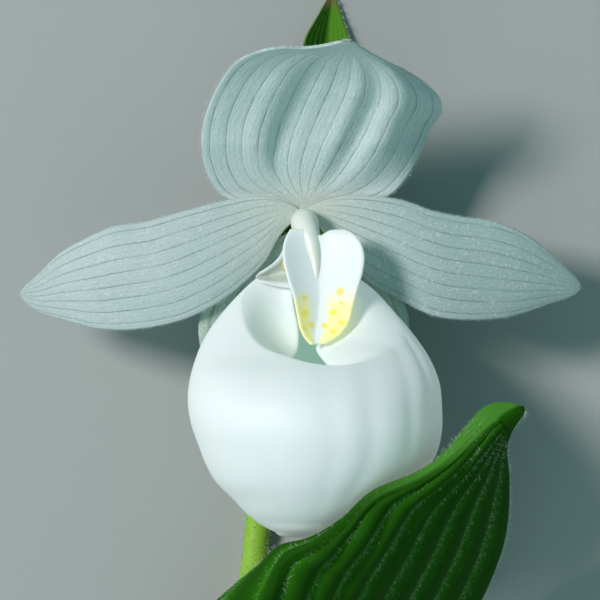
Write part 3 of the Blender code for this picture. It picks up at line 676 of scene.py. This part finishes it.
def petal(upper, lower, tip_z):
    """A petal between its two edges, its height a curve along it and three small terms: a
    parabola across it, a wave that grows to its margin, and a hump between veins."""
    u = 1 - (1 - np.linspace(0.0, 1.0, 210)) ** 1.5
    v = np.linspace(0.0, 1.0, 97)
    flat = between(upper, lower, u, v)
    u, v = np.meshgrid(u, v, indexing="ij")
    base = along([(0.0, 16.3), (0.15, 16.7), (0.5, 18.2), (0.8, 17.2), (1.0, tip_z)], u)
    swell = 1.1 * (1 - (2 * v - 1) ** 2) * np.sin(np.pi * u) ** 0.7
    wave = 0.35 * np.sin(9.0 * u + 2.0 * v) * (2 * v - 1) ** 2 * np.sin(np.pi * u)
    quilt = 0.05 * np.abs(np.cos(np.pi * PETAL_VEINS * v)) * np.sin(np.pi * u)
    return with_height(flat, base + swell + wave + quilt)


left_petal = petal(
    [(-0.2, 0.2), (-2.2, 1.2), (-5.0, 1.9), (-10.9, 1.3), (-16.4, -0.1), (-22.4, -1.7),
     (-26.9, -2.4), (-30.3, -3.9), (-34.1, -6.0), (-37.6, -9.3), (-39.3, -10.8), (-39.9, -11.6)],
    [(-0.2, -1.2), (-1.7, -2.2), (-3.0, -3.8), (-5.0, -7.3), (-7.9, -10.3), (-10.9, -12.7),
     (-14.4, -14.7), (-21.0, -16.7), (-28.3, -17.0), (-34.1, -15.6), (-37.6, -14.4),
     (-39.3, -13.2), (-39.9, -12.4)], 14.5)
right_petal = petal(
    [(0.9, 0.2), (3.0, 1.2), (5.9, 1.9), (9.7, 2.0), (14.7, 1.4), (19.0, -0.1), (22.9, -0.9),
     (27.7, -1.6), (32.1, -3.4), (37.4, -7.7), (39.5, -9.8), (40.1, -10.6)],
    [(0.9, -1.2), (2.8, -2.4), (4.0, -4.2), (6.4, -6.9), (11.1, -11.1), (13.4, -12.3),
     (19.0, -15.1), (24.3, -15.7), (29.1, -15.4), (35.9, -13.3), (39.3, -12.0), (40.1, -11.3)],
    15.5)
# The right petal is painted in the darker white, as painted shade.
for side, blade, pale, shade in (("left", left_petal, PETAL_PALE, PETAL_SHADE),
                                 ("right", right_petal, RIGHT_PETAL_PAINTED_SHADE, RIGHT_PETAL_PAINTED_SHADE_DEEP)):
    paint = petal_paint(f"{side} petal white", pale, shade, PETAL_VEIN, PETAL_VEINS, 0.055,
                        0.2, PETAL_BASE)
    add_sheet(f"petal_{side}_finished", blade, PETAL_BLADE, paint,
              f"petal_{side}")
white_hair = hair_paint("white hair", WHITE_HAIR)
for side, blade, seed in (("left", left_petal, 17), ("right", right_petal, 19)):
    rim_hairs(f"petal_{side}_hairs", blade, ("left", "right", "tip"), PETAL_RIM_HAIRS,
              (0.15, 0.5), 0.022, white_hair, seed)


# The dorsal sepal: the broad white hood that stands over the flower and leans forward. Folds
# run up it in a fan, thirteen veins meet at its tip, and its right side is turned back.
HOOD_BLADE = 0.45
HOOD_VEINS = 13
HOOD_WIDTH = 33.0
HOOD_TURNED_BACK = 5.5
HOOD_FLUTES = 1.25
HOOD_RIM_HAIRS = 620
# Painted light: the hood's white is painted lighter than the petals', as it leans away from the
# light.
HOOD_PALE_PAINTED_LIGHT = (0.66, 0.80, 0.79, 1.0)
HOOD_DEEP_PAINTED_LIGHT = (0.45, 0.60, 0.59, 1.0)


def gentle_way(line, u):
    """From each point of a line to its gentle course, a smooth polynomial held at its ends."""
    smooth = np.stack([np.polyval(np.polyfit(u, line[:, k], 5), u) for k in range(2)], 1)
    return (smooth - line) * np.clip(8 * np.minimum(u, 1 - u), 0.0, 1.0)[:, None]


# Between its edges the hood's lines run as their gentle course does. Its height is a lean that
# follows y, plus a cup, a turned-back right side, the flutes, and humps between its veins.
left = [(-0.8, -0.9), (-2.4, 0.8), (-5.0, 1.1), (-8.6, 1.0), (-11.3, 2.2), (-13.2, 5.0),
        (-14.0, 8.4), (-13.9, 11.7), (-13.0, 14.7), (-11.1, 18.3), (-8.7, 20.9),
        (-6.1, 22.0), (-2.9, 22.6), (0.7, 22.6), (3.3, 22.9), (5.7, 23.4)]
right = [(1.8, -0.9), (3.2, 0.8), (5.8, 1.1), (9.5, 1.1), (12.9, 2.2), (15.3, 4.7),
         (17.3, 8.4), (18.6, 11.7), (20.1, 14.0), (20.0, 15.7), (18.6, 17.3), (15.7, 19.3),
         (12.9, 20.6), (10.4, 21.7), (8.4, 22.8), (7.2, 23.4)]
u = np.linspace(0.0, 1.0, 170) ** 0.9
v = np.linspace(0.0, 1.0, 183)
flat = between(left, right, u, v)
ways = [gentle_way(flat[:, k], u)[:, None] for k in (0, -1)]
flat = (flat + ways[0] * (1 - v - (1 - v) ** 4)[None, :, None]
        + ways[1] * (v - v ** 4)[None, :, None])
width = np.linalg.norm(flat[:, -1] - flat[:, 0], axis=1)[:, None] / HOOD_WIDTH
u, v = np.meshgrid(u, v, indexing="ij")
flat[..., 1] += along([(0.0, 0.0), (0.1, 1.7), (0.2, 3.1), (0.27, 3.4), (0.38, 2.8), (0.5, 1.4),
                       (0.65, 0.3), (0.8, 0.0), (1.0, 0.0)], u) * (1 - (2 * v - 1) ** 2)
up = flat[..., 1]
lean = along([(1.0, 14.9), (4.0, 15.2), (8.0, 17.2), (12.0, 20.0), (16.0, 23.8), (20.0, 29.0),
              (22.6, 34.5), (23.5, 37.0)], up)
free = np.clip((up - 2.5) / 7.0, 0.0, 1.0) * np.clip(4 * (1 - u), 0.0, 1.0)
cup = 2.2 * np.abs(2 * v - 1) ** 2
turned = np.clip((v - 0.82) / 0.18, 0.0, 1.0) ** 1.5 * np.clip(1.5 * width, 0.0, 1.0)
back = -HOOD_TURNED_BACK * turned
fade = np.clip((0.95 - u) / 0.35, 0.0, 1.0)
flutes = HOOD_FLUTES * width * fade
flutes = flutes * along([(0.0, 0.0), (0.15, 0.5), (0.30, 1.0), (0.358, -0.3), (0.45, 0.1),
                         (0.54, 0.5), (0.635, 1.1), (0.70, -0.1), (0.79, 0.8), (0.90, -0.3),
                         (1.0, -1.0)], v)
quilt = 0.12 * np.abs(np.cos(np.pi * HOOD_VEINS * v)) * width
hood = with_height(flat, lean + (cup + back + flutes + quilt) * free)
add_sheet("dorsal_sepal_finished", hood, HOOD_BLADE,
          petal_paint("hood white", HOOD_PALE_PAINTED_LIGHT, HOOD_DEEP_PAINTED_LIGHT, PETAL_VEIN, HOOD_VEINS, 0.05, 0.2,
                      PETAL_BASE), "dorsal_sepal")
rim_hairs("dorsal_sepal_hairs", hood, ("left", "right", "tip"), HOOD_RIM_HAIRS, (0.25, 0.75),
          0.024, white_hair, 23)


# The pouch: a white petal blown up into a slipper, thin, waxy and open at its top. Its wall is
# folded in all round the mouth: a lobe on the left, a swollen flap on the right.
POUCH_WALL = 0.6
POUCH_RADIUS = 18.0
POUCH_TOE = np.array([1.6, -46.3, 31.0])
POUCH_COLUMNS = 176
POUCH_BODY_ROWS = 84
POUCH_FOLD_ROWS = 46
POUCH_WHITE = (0.75, 0.81, 0.82, 1.0)
POUCH_DEEP = (0.69, 0.77, 0.78, 1.0)
POUCH_TUCKED_PAINTED_SHADE = (0.72, 0.84, 0.80, 1.0)
POUCH_PAINTED_GLOW = (0.50, 0.56, 0.53, 1.0)
POUCH_PAINTED_GLOW_WITHIN = (0.20, 0.34, 0.26, 1.0)
EAR_BLADE = 0.4
EAR_PAINTED_SHADE = (0.50, 0.56, 0.50, 1.0)


def pouch_section(y, angle):
    """Point of the pouch's outer wall at height y, at an angle from +x towards the front.

    Middle + half the width * cos(angle), half the depth * sin(angle), drawn in at creases.
    """
    left = along([(-46.3, 1.4), (-46.0, -1.9), (-45.3, -3.7), (-44.5, -5.3), (-43.1, -7.2),
                  (-40.6, -9.6), (-38.4, -11.8), (-35.6, -13.4), (-33.2, -14.3), (-30.7, -15.2),
                  (-27.4, -15.8), (-21.9, -15.0), (-17.9, -13.3), (-14.0, -10.4),
                  (-10.9, -7.4), (-9.0, -5.2), (-4.0, -1.6)], y)
    right = along([(-46.3, 1.8), (-45.8, 5.0), (-44.7, 7.2), (-42.8, 10.3), (-40.2, 13.5),
                   (-37.5, 16.9), (-35.0, 18.9), (-31.7, 19.9), (-28.1, 20.0), (-24.3, 19.6),
                   (-21.1, 18.3), (-17.7, 16.0), (-14.3, 13.1), (-10.4, 9.4), (-8.5, 7.0),
                   (-4.0, 2.6)], y)
    back = along([(-46.3, 30.8), (-45.5, 26.5), (-42.8, 22.5), (-38.0, 19.4), (-30.0, 17.6),
                  (-20.0, 17.2), (-10.0, 17.4), (-4.0, 17.0)], y)
    front = along([(-46.3, 31.2), (-45.7, 34.4), (-43.7, 38.6), (-40.0, 43.6), (-35.0, 47.4),
                   (-30.0, 48.6), (-26.0, 46.8), (-23.0, 43.0), (-21.0, 39.0), (-17.5, 33.5),
                   (-13.0, 28.0), (-9.0, 23.6), (-4.0, 19.5)], y)
    crease = (0.30 * bump(angle, 1.12, 0.10) + 0.25 * bump(angle, 0.72, 0.08)
              + 0.35 * bump(angle, 0.42, 0.07) + 0.2 * bump(angle, 1.45, 0.10)
              + 0.15 * bump(angle, 2.0, 0.12))
    swell = 1 - crease / POUCH_RADIUS * np.clip((y + 46.0) / 8.0, 0.0, 1.0)
    x = (left + right) / 2 + (right - left - POUCH_WALL) / 2 * np.cos(angle) * swell
    z = (back + front) / 2 + (front - back) / 2 * np.sin(angle) * swell
    return np.stack((x, y, z), -1)


# The wall rises from the toe to the line of its fold, and turns in over it to its free edge
# along a cubic Bezier curve.
angle = np.linspace(0.0, 2 * np.pi, POUCH_COLUMNS, endpoint=False)
turns = angle / (2 * np.pi)
fold_y = [(0.0, -13.0), (0.05, -17.0), (0.09, -19.4), (0.14, -20.6), (0.18, -21.9),
          (0.22, -22.3), (0.25, -22.0), (0.29, -20.9), (0.33, -19.4), (0.355, -17.6),
          (0.38, -15.7), (0.44, -12.7), (0.5, -10.4), (0.56, -8.8), (0.65, -7.2),
          (0.75, -6.0), (0.85, -7.2), (0.94, -9.6), (1.0, -13.0)]
free_edge = np.array([
    (0.0, 6.6, -14.2, 23.8), (0.06, 5.3, -17.3, 25.6), (0.12, 2.3, -19.8, 27.0),
    (0.17, 4.6, -23.2, 34.2), (0.23, 2.2, -24.0, 35.6), (0.29, -2.6, -23.4, 35.0),
    (0.34, -3.2, -22.4, 29.0), (0.40, -0.6, -20.6, 26.2), (0.46, -0.2, -17.4, 25.0),
    (0.53, -0.9, -13.6, 23.0), (0.60, -1.2, -10.4, 21.2), (0.68, -0.4, -8.6, 20.0),
    (0.75, 1.2, -7.8, 19.5), (0.83, 3.2, -8.6, 20.2), (0.90, 4.6, -9.9, 21.4),
    (0.95, 5.7, -11.6, 22.8), (1.0, 6.6, -14.2, 23.8)])
rim_y = along(fold_y, turns)
edge = curve(free_edge[:, 1:], turns, free_edge[:, 0])
climb = 1 - np.cos(np.linspace(0.0, 1.0, POUCH_BODY_ROWS + 1)[1:] * np.pi / 2) ** 1.15
y = POUCH_TOE[1] + (rim_y[None] - POUCH_TOE[1]) * climb[:, None]
body = pouch_section(y, np.broadcast_to(angle, y.shape))
rim = body[-1]
upward = unit(body[-1] - body[-2])
inward = unit((edge - rim) * (1.0, 1.0, 0.0))
side = along([(0.0, 2.0), (0.12, 1.6), (0.25, 1.2), (0.36, 2.4), (0.45, 4.0), (0.55, 3.4),
              (0.65, 1.4), (0.85, 1.2), (0.93, 1.2), (1.0, 2.0)], turns)[:, None]
raised = along([(0.0, 1.4), (0.12, 0.6), (0.25, 0.0), (0.5, 0.0), (0.56, 1.0), (0.65, 1.8),
                (0.75, 1.7), (0.93, 1.8), (1.0, 1.4)], turns)
lift = along([(0.0, 3.0), (0.08, 4.0), (0.15, 1.5), (0.25, 0.5), (0.32, -0.5), (0.4, -1.2),
              (0.5, -1.0), (0.57, 0.0), (0.65, 1.4), (0.75, 1.8), (0.85, 1.8), (0.93, 2.6),
              (1.0, 3.0)], turns)
first = rim + upward * 0.9 * side + inward * 0.5 * side
first[:, 2] += raised
reach = 0.45 + 0.2 * (bump(turns, 0.05, 0.06) + bump(turns, 1.05, 0.06))
second = rim + (edge - rim) * reach[:, None] + lift[:, None] * (0.0, 0.0, 1.0)
w = (np.linspace(0.0, 1.0, POUCH_FOLD_ROWS + 1)[1:] ** 1.25)[:, None, None]
inner = ((1 - w) ** 3 * rim + 3 * w * (1 - w) ** 2 * first + 3 * w ** 2 * (1 - w) * second
         + w ** 3 * edge)
pouch = np.concatenate((body, inner))


def add_shell(name, grid, pole, thickness, paint, node, traits):
    """A closed shell: rings round a pole at one end, with an inner wall inside the outer one.

    The wall thins within five rings of the open end, where a lip joins the two.
    """
    rows, columns = grid.shape[:2]
    to_lip = np.clip(np.arange(rows)[::-1] / 5.0, 0.0, 1.0)
    offset = normals_of(grid, ring=True) * half_blade(thickness, to_lip)[:, None, None]
    near_pole = grid[4].mean(axis=0)
    pole_way = unit(pole - near_pole) * thickness / 2
    outside = np.concatenate(([pole + pole_way], (grid + offset).reshape(-1, 3)))
    inside = np.concatenate(([pole - pole_way], (grid - offset).reshape(-1, 3)))
    size = len(outside)
    faces, places = cells(rows, columns, ring=True)
    faces = faces + 1
    j = np.arange(columns)
    k = (j + 1) % columns
    fan = np.stack((0 * j, k + 1, j + 1), 1)
    fan_places = np.stack((np.stack((j, j + 1, j), 1) / columns, np.zeros((columns, 3))), -1)
    lip = (rows - 1) * columns + 1
    wall = np.stack((lip + j, lip + k, lip + k + size, lip + j + size), 1)
    wall_places = np.stack((np.stack((j, j + 1, j + 1, j), 1) / columns,
                            np.ones((columns, 4))), -1)
    groups = [(faces, places), (faces[:, ::-1] + size, places[:, ::-1]), (fan, fan_places),
              (fan[:, ::-1] + size, fan_places[:, ::-1]), (wall, wall_places)]
    traits = {key: np.tile(np.concatenate(([0.0], value.ravel())), 2)
              for key, value in traits.items()}
    traits["within"] = np.repeat([1.0, 0.0], size)
    add_piece(name, np.concatenate((outside, inside)), groups, paint, node, traits)


pouch_paint, wire, shader = start_paint("pouch white", 0.55, subsurface=0.35, gloss=0.3)
where = wire.node("TexCoord", output="Object")
tucked = wire.node("Attribute", {"attribute_name": "tucked"}, None, "Fac")
color = (speckle(wire, where, 60.0).step(0.35, 0.8) * 0.25).blend(POUCH_WHITE, POUCH_DEEP)
# Painted shade: the folded-in wall turns greener towards its free edge.
color = (tucked.step(0.5, 1.0) * 0.3).blend(color, POUCH_TUCKED_PAINTED_SHADE)
feed(shader, "Base Color", color)
# Painted light: the whole wall glows faintly, grey-green, and deeper green on the side marked
# within.
within = wire.node("Attribute", {"attribute_name": "within"}, None, "Fac")
feed(shader, "Emission Color", within.blend(POUCH_PAINTED_GLOW, POUCH_PAINTED_GLOW_WITHIN))
shader.inputs["Emission Strength"].default_value = 0.3
feed(shader, "Normal", bumps(wire, speckle(wire, where, 1300.0, 3.0), 0.05, 0.3))
tuck = np.concatenate((np.zeros(POUCH_BODY_ROWS),
                       np.linspace(0.0, 1.0, POUCH_FOLD_ROWS) ** 2))[:, None]
add_shell("pouch_finished", pouch, POUCH_TOE, POUCH_WALL, pouch_paint, "pouch",
          {"tucked": np.broadcast_to(tuck, pouch.shape[:2])})

upper = [(-6.3, -9.5, 21.7), (-5.9, -9.0, 22.1), (-4.9, -8.4, 22.5), (-3.6, -7.4, 22.7),
         (-2.7, -6.3, 22.9), (-2.2, -5.0, 23.0)]
lower = [(-6.3, -9.8, 21.7), (-5.9, -10.2, 22.1), (-4.6, -10.6, 22.6), (-2.9, -11.0, 22.9),
         (-1.6, -11.2, 23.1), (-0.8, -11.4, 23.2)]
u = np.linspace(0.0, 1.0, 40)
v = np.linspace(0.0, 1.0, 25)
ear = between(upper, lower, u, v)
u, v = np.meshgrid(u, v, indexing="ij")
ear[..., 2] -= 1.2 * np.sin(np.pi * v) ** 1.4 * np.clip(2.5 * u, 0.0, 1.0)
ear_paint, wire, shader = start_paint("ear of the pouch", 0.4, subsurface=0.2)
_, across, _ = read_places(wire)
# Painted shade: the ear is grey in its middle and white along its rolled edges.
rolled_edge = (across - 0.5).math("ABSOLUTE").step(0.30, 0.42)
feed(shader, "Base Color", rolled_edge.blend(EAR_PAINTED_SHADE, POUCH_WHITE))
add_sheet("pouch_ear", ear, EAR_BLADE, ear_paint)


# The column: a short thick stalk of white flesh, yellowish at its head, that carries the
# shield. Below the shield it bears the stigma and, on each side, a button of pollen.
COLUMN_SIDES = 48
COLUMN_CREAM = (0.82, 0.86, 0.74, 1.0)
COLUMN_PALE = (0.86, 0.90, 0.86, 1.0)
POLLEN_PALE = (0.74, 0.64, 0.34, 1.0)
POLLEN_DEEP = (0.62, 0.50, 0.20, 1.0)


def flesh_paint(name, pale, deep, roughness):
    """Smooth flesh in two near shades."""
    paint, wire, shader = start_paint(name, roughness, subsurface=0.2)
    where = wire.node("TexCoord", output="Object")
    feed(shader, "Base Color", speckle(wire, where, 350.0).step(0.3, 0.7).blend(pale, deep))
    feed(shader, "Normal", bumps(wire, speckle(wire, where, 2000.0), 0.04, 0.4))
    return paint


column_paint = flesh_paint("column cream", COLUMN_PALE, COLUMN_CREAM, 0.4)
place = np.linspace(0.0, 1.0, 60)
path = curve([(0.4, -0.8, 14.8), (0.5, -1.4, 17.8), (0.8, -2.2, 20.5), (1.3, -3.4, 22.4),
              (1.8, -5.2, 23.3), (2.2, -7.4, 24.0), (2.35, -10.0, 24.8)], place)
radius = curve([1.15, 1.2, 1.6, 2.0, 1.75, 1.3, 0.4], place)
add_rod("column_finished", rings_along(path, radius, COLUMN_SIDES), column_paint,
        "column")


def button(middle, radii, dimple):
    """A rounded body: an ellipsoid whose surface is pressed in along one line."""
    tilt = np.linspace(0.02, 0.98, 30)[:, None] * np.pi
    around = np.arange(40) * 2 * np.pi / 40
    sphere = np.stack((np.sin(tilt) * np.cos(around), np.sin(tilt) * np.sin(around),
                       -np.cos(tilt) * np.ones(40)), -1)
    pressed = 1 - dimple * bump(sphere[..., 0], 0.0, 0.25) * np.clip(sphere[..., 2], 0.0, 1.0)
    return np.asarray(middle) + sphere * pressed[..., None] * np.asarray(radii)


add_rod("stigma_finished", button((1.6, -8.1, 22.1), (1.9, 2.1, 0.9), 0.12), column_paint,
        "stigma")
pollen_paint = flesh_paint("pollen", POLLEN_PALE, POLLEN_DEEP, 0.7)
for side, middle in (("left", (-1.8, -7.5, 22.0)), ("right", (4.9, -6.9, 22.2))):
    add_rod(f"anther_{side}_finished", button(middle, (0.9, 1.5, 0.8), 0.2), pollen_paint,
            f"anther_{side}")


# The staminode: a heart-shaped white shield that grows from the column over the pouch's mouth.
# Its sides turn up into a trough. Towards the blunt tip both are yellow, with golden spots.
SHIELD_BLADE = 0.5
SHIELD_WHITE = (0.78, 0.83, 0.82, 1.0)
SHIELD_PAINTED_SHADE_SIDE = (0.80, 0.87, 0.90, 1.0)
SHIELD_PAINTED_GLOW = (0.55, 0.60, 0.60, 1.0)
SHIELD_YELLOW = (0.97, 0.93, 0.30, 1.0)
SHIELD_GOLD = (0.95, 0.72, 0.03, 1.0)
SHIELD_SPOTS = [(0.7, -12.6, 0.45), (0.7, -14.7, 0.5), (1.6, -16.4, 0.5), (0.6, -16.9, 0.4),
                (5.7, -11.6, 0.6), (4.7, -14.6, 0.5), (3.6, -16.4, 0.5), (5.9, -16.1, 0.5),
                (4.7, -17.3, 0.45), (5.8, -13.4, 0.4)]

left = [(-1.4, -2.8), (-2.0, -3.9), (-2.4, -5.6), (-2.2, -8.0), (-1.6, -10.2), (-0.9, -12.4),
        (-0.4, -14.9), (0.1, -17.0), (0.8, -18.3), (1.6, -19.1)]
right = [(6.2, -2.9), (7.6, -3.5), (8.6, -4.7), (9.1, -6.6), (8.9, -8.7), (8.3, -10.9),
         (7.5, -13.7), (7.0, -15.7), (5.8, -17.5), (3.6, -18.9)]
u = 1 - (1 - np.linspace(0.0, 1.0, 120)) ** 1.5
v = np.linspace(0.0, 1.0, 90)
flat = between(left, right, u, v)
u, v = np.meshgrid(u, v, indexing="ij")
groove = along([(0.0, 0.34), (0.3, 0.41), (0.7, 0.40), (0.9, 0.34), (1.0, 0.30)], u)
flat[..., 1] -= 0.8 * bump(v, 0.56, 0.13) * np.clip(1 - 4 * u, 0.0, 1.0)
base = along([(0.0, 23.4), (0.15, 23.5), (0.5, 25.3), (0.8, 27.6), (1.0, 29.5)], u)
depth = along([(0.0, 0.3), (0.15, 2.4), (0.5, 3.2), (0.8, 2.4), (1.0, 0.6)], u)
left_side = np.clip((groove - v) / groove, 0.0, 1.0) ** 1.45
right_side = np.clip((v - groove) / (1 - groove), 0.0, 1.0) ** 1.5
shield = with_height(flat, base + depth * (left_side + 0.8 * right_side))

shield_paint, wire, shader = start_paint("shield white", 0.45, subsurface=0.2, gloss=0.35)
where, across, onward = read_places(wire)
at_x, at_y = split(wire, where)
smear = (speckle(wire, where, 700.0) - 0.5) * 0.9
spot_x = at_x / MM + smear
spot_y = at_y / MM - FLOWER_Y + smear * 0.6
off_groove = (across - 0.40).math("ABSOLUTE").step(0.10, 0.26)
yellow = onward.step(0.36, 0.54) * off_groove
# Painted shade: the left side, turned from the light, is painted a bluish shade tint, a little
# lighter than the white to lift its shadow.
color = (1 - across.step(0.24, 0.44)).blend(SHIELD_WHITE, SHIELD_PAINTED_SHADE_SIDE)
color = (yellow * (0.55 + speckle(wire, where, 300.0) * 0.6)).blend(color, SHIELD_YELLOW)
gold = None
for middle_x, middle_y, size in SHIELD_SPOTS:
    away = (((spot_x - middle_x) ** 2.0 + (spot_y - middle_y) ** 2.0) ** 0.5) / size
    spot = 1 - away.step(0.5, 1.3)
    gold = spot if gold is None else gold.math("MAXIMUM", spot)
feed(shader, "Base Color", (gold * 0.9).blend(color, SHIELD_GOLD))
# Painted light: the shield glows faintly, yellow where it is yellow.
feed(shader, "Emission Color", (yellow * 0.7).blend(SHIELD_PAINTED_GLOW, SHIELD_YELLOW))
shader.inputs["Emission Strength"].default_value = 0.25
feed(shader, "Normal", bumps(wire, speckle(wire, where, 1600.0), 0.05, 0.35))
add_sheet("staminode_finished", shield, SHIELD_BLADE, shield_paint, "staminode")


# The set: a plain pale surface under soft light, brightest from the upper left, and the camera
# straight above the flower, which faces it.
CAMERA_HEIGHT = 1.0
SENSOR_WIDTH = 36.0
PICTURE_WIDTH = 85.714 * MM
PICTURE_PLANE = 18.0 * MM
PICTURE_MIDDLE_Y = 34.043 * MM
SURFACE_REACH = 3.0
SURFACE_Z = -0.2 * MM
SURFACE_GREY = (0.42, 0.45, 0.44, 1.0)
SKY_COLOR = (0.46, 0.97, 0.97, 1.0)
SKY_STRENGTH = 0.26
LIT_PLACE = (0.0, 0.02, 0.02)

floor_mesh = bpy.data.meshes.new("floor")
corners = [(x * SURFACE_REACH, y * SURFACE_REACH, SURFACE_Z)
           for x, y in ((-1, -1), (1, -1), (1, 1), (-1, 1))]
floor_mesh.from_pydata(corners, [], [(0, 1, 2, 3)])
floor_paint, _, shader = start_paint("pale surface", 0.8)
shader.inputs["Base Color"].default_value = SURFACE_GREY
floor_mesh.materials.append(floor_paint)
floor = bpy.data.objects.new("floor", floor_mesh)
bpy.context.scene.collection.objects.link(floor)


def add_light(name, place, power, size, color):
    """A square soft light at the place, tilted up from straight down and swung to the flower."""
    lamp = bpy.data.lights.new(name, "AREA")
    lamp.energy = power
    lamp.size = size
    lamp.color = color
    light = bpy.data.objects.new(name, lamp)
    light.location = place
    x, y, z = np.subtract(LIT_PLACE, place)
    light.rotation_euler = (np.arctan2(np.hypot(x, y), -z), 0.0, np.arctan2(-x, y))
    bpy.context.scene.collection.objects.link(light)


add_light("key", (-0.70, 0.34, 0.92), power=10.5, size=0.26, color=(1.0, 0.91, 0.92))
add_light("fill", (-0.2, -0.8, 0.9), power=1.6, size=1.0, color=(0.90, 1.0, 0.97))

world = bpy.context.scene.world or bpy.data.worlds.new("sky")
bpy.context.scene.world = world
world.use_nodes = True
sky = world.node_tree.nodes["Background"]
sky.inputs["Color"].default_value = SKY_COLOR
sky.inputs["Strength"].default_value = SKY_STRENGTH
bpy.context.scene.view_settings.view_transform = "Standard"

camera_data = bpy.data.cameras.new("camera")
camera_data.sensor_width = SENSOR_WIDTH
camera_data.lens = SENSOR_WIDTH * CAMERA_HEIGHT / PICTURE_WIDTH
camera_data.clip_start = 0.1
camera_data.clip_end = 20.0
camera = bpy.data.objects.new("camera", camera_data)
camera.location = (0.0, PICTURE_MIDDLE_Y, PICTURE_PLANE + CAMERA_HEIGHT)
bpy.context.scene.collection.objects.link(camera)
bpy.context.scene.camera = camera
